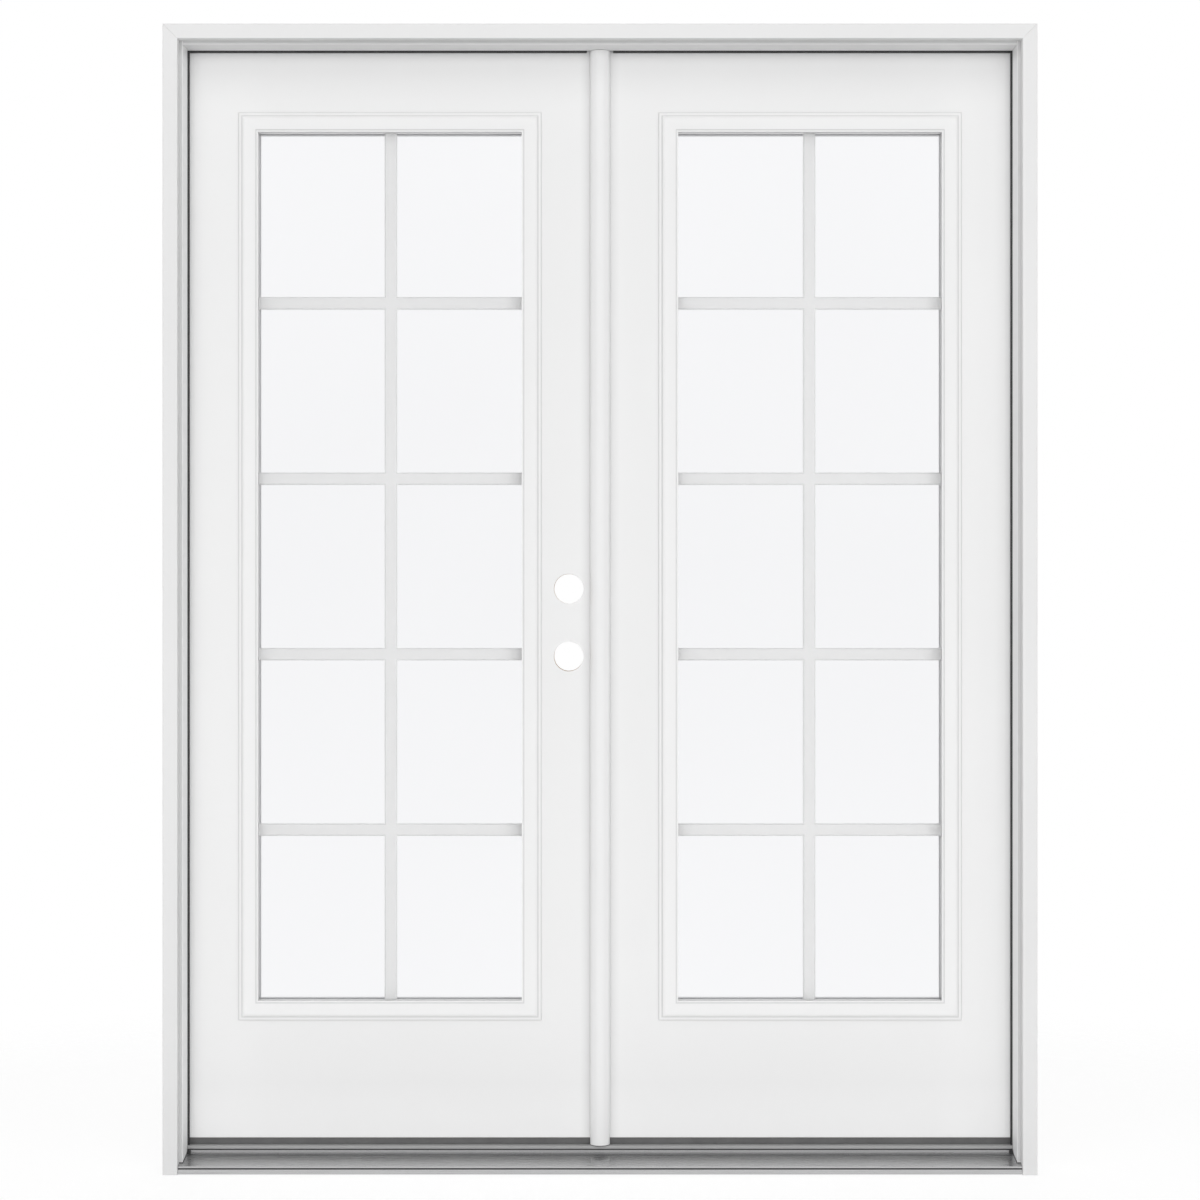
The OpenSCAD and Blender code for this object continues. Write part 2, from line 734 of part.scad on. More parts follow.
module foam_core(blocked) placed() core_slab() difference() {
  rect_between(
    [-leaf_edge_x + stile_w, leaf_bottom + bottom_rail_h],
    [-lock_edge_x - stile_w, leaf_top - top_rail_h]);
  lite_rect(cutout_w, cutout_h);
  if (blocked) lock_block_outline();
}

// Section over a width w that rises from both outer edges past the ridges: x across, y over the skin
module lite_rise(w) {
  crown_start = band_h + band_step;
  rise = [
    [0, 0],
    [0, band_h - edge_ease],
    [edge_ease, band_h],
    [band_w, band_h],
    for (i = [0 : crown_steps]) [
      band_w + (ridge_in - band_w) * i / crown_steps,
      crown_start + (lite_proud - crown_start) * sin(90 * i / crown_steps)
    ],
    [lite_face, lite_proud + cut]
  ];
  polygon([
    for (place = rise) [place.x - w / 2, place.y],
    for (i = [len(rise) - 1 : -1 : 0]) [w / 2 - rise[i].x, rise[i].y]
  ]);
}

// Section of one side that falls from the ridge to the inner edge: x from the outer edge inwards
module lite_fall() {
  crown_end = lip_h + lip_step;
  crown_l = lite_face - lip_w - ridge_in;
  polygon([
    [-cut, -cut],
    [-cut, lite_proud + cut],
    for (i = [0 : crown_steps]) [
      ridge_in + crown_l * i / crown_steps,
      crown_end + (lite_proud - crown_end) * cos(90 * i / crown_steps)
    ],
    [lite_face - lip_w, lip_h],
    [lite_face, lip_h],
    [lite_face, -cut]
  ]);
}

// Bar along Y through the origin, from an outline in (x, z)
module centred_bar(length) rotate([90, 0, 0]) linear_extrude(length, center = true) children();

module fall_pair(w, h) for (turn = [0, 180])
  rotate(turn) translate([-w / 2, 0, 0]) centred_bar(h + 2 * cut) lite_fall();

// Moulded ring that lies in (x, y), with its corners where the rising and falling sections cross
module lite_ring() {
  intersection() {
    centred_bar(lite_h + 2 * cut) lite_rise(lite_w);
    rotate(90) centred_bar(lite_w + 2 * cut) lite_rise(lite_h);
    union() {
      fall_pair(lite_w, lite_h);
      rotate(90) fall_pair(lite_h, lite_w);
    }
  }
  translate([0, 0, -glass_recess]) linear_extrude(glass_recess + lip_h / 2) difference() {
    square([lite_w - 2 * leg_in, lite_h - 2 * leg_in], center = true);
    square([day_w, day_h], center = true);
  }
}

// Screw places of a lite frame, from its middle
function lite_screw_places() = [
  for (side = [-1, 1], i = [0 : lite_screw_rows - 1])
    [side * lite_screw_x, -lite_h / 2 + 2 * lite_screw_in + i * lite_screw_pitch],
  for (side = [-1, 1], end = [-1, 1])
    [side * lite_w / 4, end * lite_screw_z]
];

// Screws, or their holes, seen from the inner face of the leaf, over the inner skin
module lite_screw_set(fit = 0) for (place = lite_screw_places())
  translate([place.x, place.y, lite_screw_seat])
  flat_screw(lite_screw_dia, lite_screw_head_dia, lite_screw_dia / 2, lite_screw_l, fit);

// Counterbores over the screw heads
module lite_screw_wells() for (place = lite_screw_places())
  translate([place.x, place.y, lite_screw_seat])
  cylinder(d = lite_screw_head_dia + 2 * screw_fit, h = lite_proud);

module at_outer_lite() translate([leaf_mid_x, leaf_front, lite_mid_z]) rotate([90, 0, 0]) children();

module at_inner_lite() translate([leaf_mid_x, leaf_back, lite_mid_z]) rotate([90, 0, 180]) children();

module outer_lite_frame() placed() difference() {
  at_outer_lite() lite_ring();
  at_inner_lite() lite_screw_set(screw_fit);
}

module inner_lite_frame() placed() at_inner_lite() difference() {
  lite_ring();
  lite_screw_set(screw_fit);
  lite_screw_wells();
}

module lite_screws() placed() at_inner_lite() lite_screw_set();

module pane(depth) placed() upright(depth, glass_t) lite_rect(glass_w, glass_h);

module outer_glass() pane(leaf_front + glass_recess);

module inner_glass() pane(leaf_back - glass_recess - glass_t);

module glass_spacer() placed() upright(leaf_front + glass_recess + glass_t, air_t) difference() {
  lite_rect(glass_w - 2 * spacer_inset, glass_h - 2 * spacer_inset);
  lite_rect(glass_w - 2 * spacer_inset - 2 * spacer_w, glass_h - 2 * spacer_inset - 2 * spacer_w);
}

// Bevelled section of a grille bar
module bar_outline() {
  x = bar_w / 2;
  y = bar_t / 2;
  polygon([
    [-x, bar_bevel - y],
    [-x, y - bar_bevel],
    [bar_bevel - x, y],
    [x - bar_bevel, y],
    [x, y - bar_bevel],
    [x, bar_bevel - y],
    [x - bar_bevel, -y],
    [bar_bevel - x, -y]
  ]);
}

module grille() placed() translate([leaf_mid_x, leaf_mid_depth, lite_mid_z]) {
  inner_w = glass_w - 2 * spacer_inset - 2 * spacer_w;
  inner_h = glass_h - 2 * spacer_inset - 2 * spacer_w;
  pitch = (day_h + bar_w) / (bar_rows + 1);
  translate([0, 0, -inner_h / 2]) linear_extrude(inner_h) bar_outline();
  for (i = [1 : bar_rows]) translate([-inner_w / 2, 0, -day_h / 2 - bar_w / 2 + i * pitch])
    rotate([90, 0, 90]) linear_extrude(inner_w) rotate(90) bar_outline();
}

// Base strip with fins that wipe the sill cap
module sweep_blank() {
  front = leaf_front + sweep_inset;
  depth = leaf_t - 2 * sweep_inset;
  fin_pitch = (depth - fin_t) / (sweep_fins - 1);
  running(-leaf_edge_x + sweep_inset, -lock_edge_x - sweep_inset) union() {
    translate([front, leaf_bottom - sweep_base_t]) square([depth, sweep_base_t]);
    for (i = [0 : sweep_fins - 1]) translate([front + i * fin_pitch, sill_h + seal_fit])
      square([fin_t, leaf_bottom - sill_h - seal_fit]);
  }
}

// Astragal and flush bolts, on the passive leaf

// Latch strike plate, or its recess where fit is set
module latch_strike_box(z, fit = 0) box_between(
  [-web_reach - (fit > 0 ? cut : 0), leaf_mid_depth - strike_w / 2 - fit, z - strike_h / 2 - fit],
  [-web_reach + strike_t, leaf_mid_depth + strike_w / 2 + fit, z + strike_h / 2 + fit]);

// Mouth of a latch strike, from the web's face into the stile
module latch_mouth(z) box_between(
  [-web_reach - cut, leaf_mid_depth - mouth_w / 2, z - mouth_h / 2],
  [lock_edge_x + pocket_depth, leaf_mid_depth + mouth_w / 2, z + mouth_h / 2]);

// Bore and slot that the top bolt runs in
module top_bolt_room(throw) {
  translate([bolt_x, leaf_mid_depth, rod_z - cut])
    cylinder(d = bolt_dia + 2 * bolt_fit, h = bolt_l + bolt_tip_gap + 2 * cut);
  box_between(
    [-web_reach - cut, leaf_mid_depth - stem_w / 2 - slot_fit, stem_z - stem_h / 2 - slot_fit],
    [bolt_x, leaf_mid_depth + stem_w / 2 + slot_fit, stem_z + stem_h / 2 + throw + slot_fit]);
}

// Rod with its stem and thumb slide, drawn back
module top_bolt_shape() {
  r = bolt_dia / 2;
  translate([bolt_x, leaf_mid_depth, rod_z]) rotate_extrude() polygon([
    [0, 0], [r, 0], [r, bolt_l - bolt_ease], [r - bolt_ease, bolt_l], [0, bolt_l]
  ]);
  box_between(
    [-web_reach - slide_proud, leaf_mid_depth - stem_w / 2, stem_z - stem_h / 2],
    [bolt_x, leaf_mid_depth + stem_w / 2, stem_z + stem_h / 2]);
  box_between(
    [-web_reach - slide_proud, leaf_mid_depth - slide_w / 2, stem_z - slide_h / 2],
    [-web_reach - slide_gap, leaf_mid_depth + slide_w / 2, stem_z + slide_h / 2]);
}

// The same at the foot of the leaf
module at_foot() translate([0, 0, leaf_bottom + leaf_top]) mirror([0, 0, 1]) children();

module bolt_rooms() {
  top_bolt_room(top_throw);
  at_foot() top_bolt_room(bottom_throw);
}

module astragal_body() color("gainsboro") placed() difference() {
  standing(leaf_bottom, leaf_top) polygon([
    [-web_reach, cover_back],
    [lock_edge_x + flange_w, cover_back],
    [lock_edge_x + flange_w, leaf_front],
    [lock_edge_x, leaf_front],
    [lock_edge_x, leaf_back],
    [-web_reach, leaf_back]
  ]);
  for (z = bore_heights) {
    latch_strike_box(z, strike_fit);
    latch_mouth(z);
  }
  bolt_rooms();
}

module astragal_cover() color("white") placed() standing(cover_foot, cover_top) {
  rect_between([-cover_w / 2, cover_back - cover_side], [cover_w / 2, cover_back]);
  translate([0, cover_back - cover_side]) intersection() {
    circle(d = cover_w);
    rect_between([-cover_w, -cover_w], [cover_w, cover_side / 2]);
  }
}

module astragal_seal() color("dimgray") placed() standing(leaf_bottom, cover_top)
  rect_between(
    [-cover_w / 2 + back_seal_inset, cover_back],
    [-cover_w / 2 + back_seal_inset + back_seal_w, leaf_front - seal_fit]);

module astragal_strikes() color("silver") placed() for (z = bore_heights) difference() {
  latch_strike_box(z);
  latch_mouth(z);
}

module top_flush_bolt() color("silver") placed() top_bolt_shape();

module bottom_flush_bolt() color("silver") placed() at_foot() top_bolt_shape();

// Active leaf

module active_outer_skin() color("white") outer_skin(true);

module active_inner_skin() color("white") inner_skin(true);

module active_hinge_stile() color("burlywood") hinge_stile();

module active_lock_stile() color("burlywood") placed() difference() {
  lock_stile_blank();
  latch_bores();
}

module active_top_rail() color("burlywood") top_rail();

module active_bottom_rail() color("burlywood") bottom_rail();

module active_foam_core() color("khaki") foam_core(true);

module active_lock_block() color("burlywood") placed() difference() {
  core_slab() difference() {
    lock_block_outline();
    lock_bores();
  }
  latch_bores();
}

module active_outer_lite_frame() color("white") outer_lite_frame();

module active_inner_lite_frame() color("white") inner_lite_frame();

module active_outer_glass() color("aliceblue") outer_glass();

module active_inner_glass() color("aliceblue") inner_glass();

module active_glass_spacer() color("silver") glass_spacer();

module active_grille() color("white") grille();

module active_lite_screws() color("silver") lite_screws();

module active_door_sweep() color("dimgray") placed() sweep_blank();

module active_hinge_leaves() color("silver") leaf_plates();

module active_hinge_screws() color("silver") placed() leaf_screws();

// Passive leaf

module passive_outer_skin() color("white") mirrored() outer_skin(false);

module passive_inner_skin() color("white") mirrored() inner_skin(false);

module passive_hinge_stile() color("burlywood") mirrored() hinge_stile();

module passive_lock_stile() color("burlywood") placed() difference() {
  mirrored() lock_stile_blank();
  for (z = bore_heights) latch_mouth(z);
  bolt_rooms();
}

module passive_top_rail() color("burlywood") mirrored() top_rail();

module passive_bottom_rail() color("burlywood") mirrored() bottom_rail();

module passive_foam_core() color("khaki") mirrored() foam_core(false);

module passive_outer_lite_frame() color("white") mirrored() outer_lite_frame();

module passive_inner_lite_frame() color("white") mirrored() inner_lite_frame();

module passive_outer_glass() color("aliceblue") mirrored() outer_glass();

module passive_inner_glass() color("aliceblue") mirrored() inner_glass();

module passive_glass_spacer() color("silver") mirrored() glass_spacer();

module passive_grille() color("white") mirrored() grille();

module passive_lite_screws() color("silver") mirrored() lite_screws();

// Sweep with room for the bottom bolt
module passive_door_sweep() color("dimgray") placed() difference() {
  mirrored() sweep_blank();
  bolt_hole(sill_h, leaf_bottom - sill_h + cut);
}

module passive_hinge_leaves() color("silver") mirrored() leaf_plates();

module passive_hinge_screws() color("silver") mirrored() placed() leaf_screws();

left_jamb();
right_jamb();
head_jamb();
left_trim();
right_trim();
head_trim();
sill_base();
sill_deck();
sill_cap();
corner_pads();
left_jamb_seal();
right_jamb_seal();
head_seal();
jamb_hinge_leaves();
hinge_pins();
jamb_hinge_screws();
bolt_strikes();
active_outer_skin();
active_inner_skin();
active_hinge_stile();
active_lock_stile();
active_top_rail();
active_bottom_rail();
active_foam_core();
active_lock_block();
active_outer_lite_frame();
active_inner_lite_frame();
active_outer_glass();
active_inner_glass();
active_glass_spacer();
active_grille();
active_lite_screws();
active_door_sweep();
active_hinge_leaves();
active_hinge_screws();
passive_outer_skin();
passive_inner_skin();
passive_hinge_stile();
passive_lock_stile();
passive_top_rail();
passive_bottom_rail();
passive_foam_core();
passive_outer_lite_frame();
passive_inner_lite_frame();
passive_outer_glass();
passive_inner_glass();
passive_glass_spacer();
passive_grille();
passive_lite_screws();
passive_door_sweep();
passive_hinge_leaves();
passive_hinge_screws();
astragal_body();
astragal_cover();
astragal_seal();
astragal_strikes();
top_flush_bolt();
bottom_flush_bolt();
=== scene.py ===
"""Looks of a prehung pair of glazed french doors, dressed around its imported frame.

X runs across the opening, -Y is the outside and Z is up. All lengths are in metres.
"""

import json
import logging
import math
from dataclasses import dataclass
from enum import Enum
from functools import cache

import bpy
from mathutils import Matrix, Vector


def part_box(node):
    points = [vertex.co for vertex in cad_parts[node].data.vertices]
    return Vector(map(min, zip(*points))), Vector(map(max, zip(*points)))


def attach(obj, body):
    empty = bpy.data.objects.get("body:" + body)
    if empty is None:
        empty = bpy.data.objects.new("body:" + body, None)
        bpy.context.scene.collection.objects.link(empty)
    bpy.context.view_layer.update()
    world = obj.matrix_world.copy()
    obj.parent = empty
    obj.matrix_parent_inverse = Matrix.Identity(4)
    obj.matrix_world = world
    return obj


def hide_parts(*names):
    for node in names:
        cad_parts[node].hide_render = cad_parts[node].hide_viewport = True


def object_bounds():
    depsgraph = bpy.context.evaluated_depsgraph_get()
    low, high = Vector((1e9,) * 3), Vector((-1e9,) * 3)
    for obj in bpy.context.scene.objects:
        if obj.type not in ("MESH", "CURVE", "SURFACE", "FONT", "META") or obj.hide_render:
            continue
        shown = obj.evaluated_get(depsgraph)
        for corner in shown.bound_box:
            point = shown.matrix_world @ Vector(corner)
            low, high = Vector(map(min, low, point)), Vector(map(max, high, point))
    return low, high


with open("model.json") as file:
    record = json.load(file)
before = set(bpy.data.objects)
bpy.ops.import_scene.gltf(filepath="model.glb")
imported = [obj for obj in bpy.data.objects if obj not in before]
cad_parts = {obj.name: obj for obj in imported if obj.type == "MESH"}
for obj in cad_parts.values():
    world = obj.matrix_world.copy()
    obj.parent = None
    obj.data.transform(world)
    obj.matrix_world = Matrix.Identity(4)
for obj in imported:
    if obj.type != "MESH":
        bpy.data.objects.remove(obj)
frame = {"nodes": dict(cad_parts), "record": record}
cad_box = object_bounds()
log = logging.getLogger("french_doors")

Rgb = tuple[float, float, float]
Socket = bpy.types.NodeSocket

MM = 0.001
WHITE = (1.0, 1.0, 1.0, 1.0)
SLOT_OF = {part["node"]: part["material_slot"] for part in frame["record"]["subparts"]}
JAMB_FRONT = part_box("left_jamb")[0].y
LITE_LOW, LITE_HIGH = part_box("passive_outer_lite_frame")

# Ends of a cloudy pattern, as dark and as light
PATTERN_DARK = 0.3
PATTERN_LIGHT = 0.7

# Sockets of a Mix node for colours, by number because its other types use the same names
MIX_SHARE, MIX_BEFORE, MIX_BY, MIX_RESULT = 0, 6, 7, 2

# How copied meshes are merged, and how edges are rounded and smoothed
MERGE_DISTANCE = 0.002 * MM
FLAT_ANGLE = math.radians(0.5)
SHARP_ANGLE = math.radians(28)
SMOOTH_ANGLE = math.radians(32)
EDGE_FACETS = 2
STRIP_ROUNDING = 0.25


class Grain(Enum):
    """Way that a sawn, drawn or brushed surface runs, as the scale of its pattern on X, Y and Z."""

    NONE = (1.0, 1.0, 1.0)
    ALONG_X = (0.012, 1.0, 1.0)
    ALONG_Z = (1.0, 1.0, 0.012)


class Detail(Enum):
    """How many finer layers a cloudy pattern has."""

    SOFT = 1.0
    PLAIN = 2.0
    FINE = 3.0


class Axis(Enum):
    """The three ways across the doors, by the names of a vector's parts."""

    X = "X"
    Y = "Y"
    Z = "Z"


class Side(Enum):
    """The two leaves, by the first word of their nodes' names."""

    ACTIVE = "active"
    PASSIVE = "passive"


class Hand(Enum):
    """The two jambs, by the sign of their place on X."""

    LEFT = -1
    RIGHT = 1


def seen_rays(nodes: bpy.types.Nodes, links: bpy.types.NodeLinks) -> Socket:
    """Switch for what is seen, in mirrors and through glass too.

    Args:
        nodes: Nodes of the floor or the world.
        links: Its links.

    Returns:
        Socket that is 1 for camera, glossy and transmission rays.
    """
    path = nodes.new("ShaderNodeLightPath")
    seen = path.outputs["Is Camera Ray"]
    for ray in ("Is Glossy Ray", "Is Transmission Ray"):
        either = nodes.new("ShaderNodeMath")
        either.operation = "MAXIMUM"
        links.new(seen, either.inputs[0])
        links.new(path.outputs[ray], either.inputs[1])
        seen = either.outputs["Value"]
    return seen


def blend_shaders(
    nodes: bpy.types.Nodes, links: bpy.types.NodeLinks, share: Socket, first: Socket, second: Socket
) -> Socket:
    """Mix of two shaders.

    Args:
        nodes: Nodes of a material or the world.
        links: Its links.
        share: Share of the second shader.
        first: Shader at a share of 0.
        second: Shader at a share of 1.

    Returns:
        Socket of the mixed shader.
    """
    mix = nodes.new("ShaderNodeMixShader")
    links.new(share, mix.inputs["Fac"])
    links.new(first, mix.inputs[1])
    links.new(second, mix.inputs[2])
    return mix.outputs["Shader"]


class ShaderGraph:
    """Node tree of one material, with short calls that add and link its nodes."""

    def __init__(self, name: str) -> None:
        """Start a material that holds one shader and its output.

        Args:
            name: Name of the material.
        """
        self.material = bpy.data.materials.new(name)
        self.material.use_nodes = True
        self.nodes = self.material.node_tree.nodes
        self.links = self.material.node_tree.links
        self.nodes.clear()
        self.place = self.nodes.new("ShaderNodeTexCoord").outputs["Object"]
        self.shader = self.nodes.new("ShaderNodeBsdfPrincipled")
        self.output = self.nodes.new("ShaderNodeOutputMaterial")
        self.show(self.shader.outputs["BSDF"])

    def show(self, surface: Socket) -> None:
        """Make a shader the one that the surface has."""
        self.links.new(surface, self.output.inputs["Surface"])

    def fix(self, socket: str, value: float | tuple[float, ...]) -> None:
        """Set one of the shader's own sockets to a value that is the same all over."""
        self.shader.inputs[socket].default_value = value

    def feed(self, socket: str, source: Socket) -> None:
        """Link a pattern to one of the shader's sockets."""
        self.links.new(source, self.shader.inputs[socket])

    def stretched(self, grain: Grain) -> Socket:
        """Place on the piece, drawn out along a grain.

        Args:
            grain: Way that the pattern runs.

        Returns:
            Vector socket for a texture.
        """
        mapping = self.nodes.new("ShaderNodeMapping")
        mapping.inputs["Scale"].default_value = grain.value
        self.links.new(self.place, mapping.inputs["Vector"])
        return mapping.outputs["Vector"]

    def noise(self, size: float, detail: Detail = Detail.PLAIN, grain: Grain = Grain.NONE) -> Socket:
        """Cloudy pattern.

        Args:
            size: Width of one cloud.
            detail: How fine the clouds are.
            grain: Way that the clouds are drawn out.

        Returns:
            Socket that runs from about PATTERN_DARK to about PATTERN_LIGHT.
        """
        texture = self.nodes.new("ShaderNodeTexNoise")
        texture.inputs["Scale"].default_value = 1 / size
        texture.inputs["Detail"].default_value = detail.value
        self.links.new(self.stretched(grain), texture.inputs["Vector"])
        return texture.outputs["Fac"]

    def cells(self, size: float) -> Socket:
        """Pattern of round cells.

        Args:
            size: Width of one cell.

        Returns:
            Socket with the distance from each cell's middle.
        """
        texture = self.nodes.new("ShaderNodeTexVoronoi")
        texture.inputs["Scale"].default_value = 1 / size
        self.links.new(self.place, texture.inputs["Vector"])
        return texture.outputs["Distance"]

    def spread(self, source: Socket, low: float, high: float) -> Socket:
        """Pattern turned into a number.

        Args:
            source: Pattern to read.
            low: Number at the pattern's dark end.
            high: Number at its light end.

        Returns:
            Socket with the number.
        """
        node = self.nodes.new("ShaderNodeMapRange")
        node.inputs["From Min"].default_value = PATTERN_DARK
        node.inputs["From Max"].default_value = PATTERN_LIGHT
        node.inputs["To Min"].default_value = low
        node.inputs["To Max"].default_value = high
        self.links.new(source, node.inputs["Value"])
        return node.outputs["Result"]

    def tint(self, source: Socket, dark: Rgb, light: Rgb) -> Socket:
        """Pattern turned into a colour.

        Args:
            source: Pattern to read.
            dark: Colour at the pattern's dark end.
            light: Colour at its light end.

        Returns:
            Socket with the colour.
        """
        ramp = self.nodes.new("ShaderNodeValToRGB")
        low, high = ramp.color_ramp.elements
        low.position, low.color = PATTERN_DARK, (*dark, 1.0)
        high.position, high.color = PATTERN_LIGHT, (*light, 1.0)
        self.links.new(source, ramp.inputs["Fac"])
        return ramp.outputs["Color"]

    def pass_lamps(self, colour: Rgb) -> None:
        """Let light from lamps through, so that it reaches what is behind.

        Args:
            colour: Tint that the light takes on.
        """
        clear = self.nodes.new("ShaderNodeBsdfTransparent")
        clear.inputs["Color"].default_value = (*colour, 1.0)
        lamp_rays = self.nodes.new("ShaderNodeLightPath").outputs["Is Shadow Ray"]
        glass = self.shader.outputs["BSDF"]
        self.show(blend_shaders(self.nodes, self.links, lamp_rays, glass, clear.outputs["BSDF"]))

    def along(self, axis: Axis) -> Socket:
        """Place on the piece along one axis.

        Args:
            axis: Axis to read.

        Returns:
            Socket with the place.
        """
        parts = self.nodes.new("ShaderNodeSeparateXYZ")
        self.links.new(self.place, parts.inputs["Vector"])
        return parts.outputs[axis.value]

    def work(self, operation: str, first: Socket, second: Socket | float = 0.0) -> Socket:
        """Plain working on one or two numbers.

        Args:
            operation: Name of the working, such as SUBTRACT.
            first: First number.
            second: Second number, or a value that is the same all over.

        Returns:
            Socket with the result.
        """
        node = self.nodes.new("ShaderNodeMath")
        node.operation = operation
        self.links.new(first, node.inputs[0])
        if isinstance(second, float):
            node.inputs[1].default_value = second
        else:
            self.links.new(second, node.inputs[1])
        return node.outputs["Value"]

    def ramp(self, source: Socket, start: float, end: float) -> Socket:
        """Share that grows with a number.

        Args:
            source: Number to read.
            start: Number at which the share is 0.
            end: Number at which it is 1.

        Returns:
            Socket with the share.
        """
        node = self.nodes.new("ShaderNodeMapRange")
        node.inputs["From Min"].default_value = start
        node.inputs["From Max"].default_value = end
        self.links.new(source, node.inputs["Value"])
        return node.outputs["Result"]

    def shade(self, share: Socket, amount: float) -> None:
        """Paint shade into the colour where a share is high.

        Args:
            share: Share to read.
            amount: Part of the light that is taken at a share of 1.
        """
        mix = self.nodes.new("ShaderNodeMix")
        mix.data_type = "RGBA"
        mix.blend_type = "MULTIPLY"
        mix.inputs[MIX_BY].default_value = (1 - amount, 1 - amount, 1 - amount, 1.0)
        self.links.new(share, mix.inputs[MIX_SHARE])
        self.links.new(self.shader.inputs["Base Color"].links[0].from_socket, mix.inputs[MIX_BEFORE])
        self.feed("Base Color", mix.outputs[MIX_RESULT])

    def relief(self, source: Socket, depth: float, strength: float = 1.0) -> None:
        """Raise the surface by a pattern, on top of any relief that it has.

        Args:
            source: Pattern to read.
            depth: Height of the pattern.
            strength: Share of the relief that shows.
        """
        bump = self.nodes.new("ShaderNodeBump")
        bump.inputs["Strength"].default_value = strength
        bump.inputs["Distance"].default_value = depth
        self.links.new(source, bump.inputs["Height"])
        below = self.shader.inputs["Normal"].links
        if below:
            self.links.new(below[0].from_socket, bump.inputs["Normal"])
        self.feed("Normal", bump.outputs["Normal"])


def darker(colour: Rgb, share: float) -> Rgb:
    """Colour with a share of its light taken away."""
    return tuple(part * (1 - share) for part in colour)


@dataclass(frozen=True)
class Shade:
    """Painted light and shade: a tone that grows duller along one axis; along X it is the same on both
    sides of the middle.
    """

    axis: Axis
    clear_at: float
    full_at: float
    amount: float

    def lay(self, graph: ShaderGraph) -> None:
        """Darken the colour of a finish from the one place to the other, as painted light and shade.

        Args:
            graph: Graph of the finish's material.
        """
        place = graph.along(self.axis)
        if self.axis is Axis.X:
            place = graph.work("ABSOLUTE", place)
        graph.shade(graph.ramp(place, self.clear_at, self.full_at), self.amount)


@dataclass(frozen=True)
class Finish:
    """What every finish has: its colour, how rough it is, how much its tone drifts and its painted light
    and shade.
    """

    name: str
    colour: Rgb
    roughness: float
    drift: float = 0.03
    shades: tuple[Shade, ...] = ()

    def paint(self, graph: ShaderGraph) -> None:
        """Give the shader this finish; each kind of finish does it in its own way."""
        raise NotImplementedError

    def tone(self, graph: ShaderGraph, size: float, grain: Grain = Grain.NONE) -> None:
        """Let the colour drift by clouds.

        Args:
            graph: Graph of the material.
            size: Width of one cloud.
            grain: Way that the clouds are drawn out.
        """
        clouds = graph.noise(size, Detail.FINE, grain)
        graph.feed("Base Color", graph.tint(clouds, darker(self.colour, self.drift), self.colour))

    def gloss(self, graph: ShaderGraph, size: float, share: float, grain: Grain = Grain.NONE) -> None:
        """Let the roughness drift by clouds.

        Args:
            graph: Graph of the material.
            size: Width of one cloud.
            share: Share of the roughness that it drifts by, up and down.
            grain: Way that the clouds are drawn out.
        """
        low, high = self.roughness * (1 - share), self.roughness * (1 + share)
        graph.feed("Roughness", graph.spread(graph.noise(size, Detail.PLAIN, grain), low, high))


@dataclass(frozen=True)
class Paint(Finish):
    """Sprayed or brushed paint, with its fine orange peel or its brush marks."""

    peel_size: float = 1.6 * MM
    peel_depth: float = 0.03 * MM
    grain: Grain = Grain.NONE
    tone_size: float = 600 * MM
    gloss_size: float = 90 * MM
    gloss_share: float = 0.14
    specular: float = 0.25

    def paint(self, graph: ShaderGraph) -> None:
        """Give the shader a thin coat.

        Args:
            graph: Graph of the material.
        """
        graph.fix("Specular IOR Level", self.specular)
        self.tone(graph, self.tone_size)
        self.gloss(graph, self.gloss_size, self.gloss_share)
        graph.relief(graph.noise(self.peel_size, Detail.PLAIN, self.grain), self.peel_depth)


@dataclass(frozen=True)
class Moulding(Finish):
    """Moulded plastic with a fine matt grain, a little sunken here and there."""

    grain_size: float = 0.9 * MM
    grain_depth: float = 0.05 * MM
    grain_strength: float = 0.6
    sink_size: float = 12 * MM
    sink_depth: float = 0.02 * MM
    tone_size: float = 350 * MM
    gloss_size: float = 50 * MM
    gloss_share: float = 0.1
    specular: float = 0.25

    def paint(self, graph: ShaderGraph) -> None:
        """Give the shader a moulded skin.

        Args:
            graph: Graph of the material.
        """
        graph.fix("Specular IOR Level", self.specular)
        self.tone(graph, self.tone_size)
        self.gloss(graph, self.gloss_size, self.gloss_share)
        graph.relief(graph.cells(self.grain_size), self.grain_depth, self.grain_strength)
        graph.relief(graph.noise(self.sink_size, Detail.SOFT), self.sink_depth)


@dataclass(frozen=True)
class RingMoulding(Moulding):
    """Moulded lite frame, the same on both leaves, with painted shade in its steps."""

    middle_x: float = (LITE_LOW.x + LITE_HIGH.x) / 2
    middle_z: float = (LITE_LOW.z + LITE_HIGH.z) / 2
    half_w: float = (LITE_HIGH.x - LITE_LOW.x) / 2
    half_h: float = (LITE_HIGH.z - LITE_LOW.z) / 2
    steps: tuple[float, ...] = (0.4 * MM, 6.4 * MM, 32.0 * MM)
    step_reach: float = 1.6 * MM
    step_shade: float = 0.22

    def paint(self, graph: ShaderGraph) -> None:
        """Give the shader a moulded skin and paint shade into its steps.

        Args:
            graph: Graph of the material.
        """
        super().paint(graph)
        across = graph.work("SUBTRACT", graph.work("ABSOLUTE", graph.along(Axis.X)), self.middle_x)
        up = graph.work("SUBTRACT", graph.along(Axis.Z), self.middle_z)
        from_side = graph.work("ADD", graph.work("ABSOLUTE", across), -self.half_w)
        from_end = graph.work("ADD", graph.work("ABSOLUTE", up), -self.half_h)
        outside = graph.work("MAXIMUM", from_side, from_end)
        # Painted shade: a thin darker line along each step of the frame's profile.
        for step in self.steps:
            away = graph.work("ABSOLUTE", graph.work("ADD", outside, step))
            graph.shade(graph.ramp(away, self.step_reach, 0.0), self.step_shade)


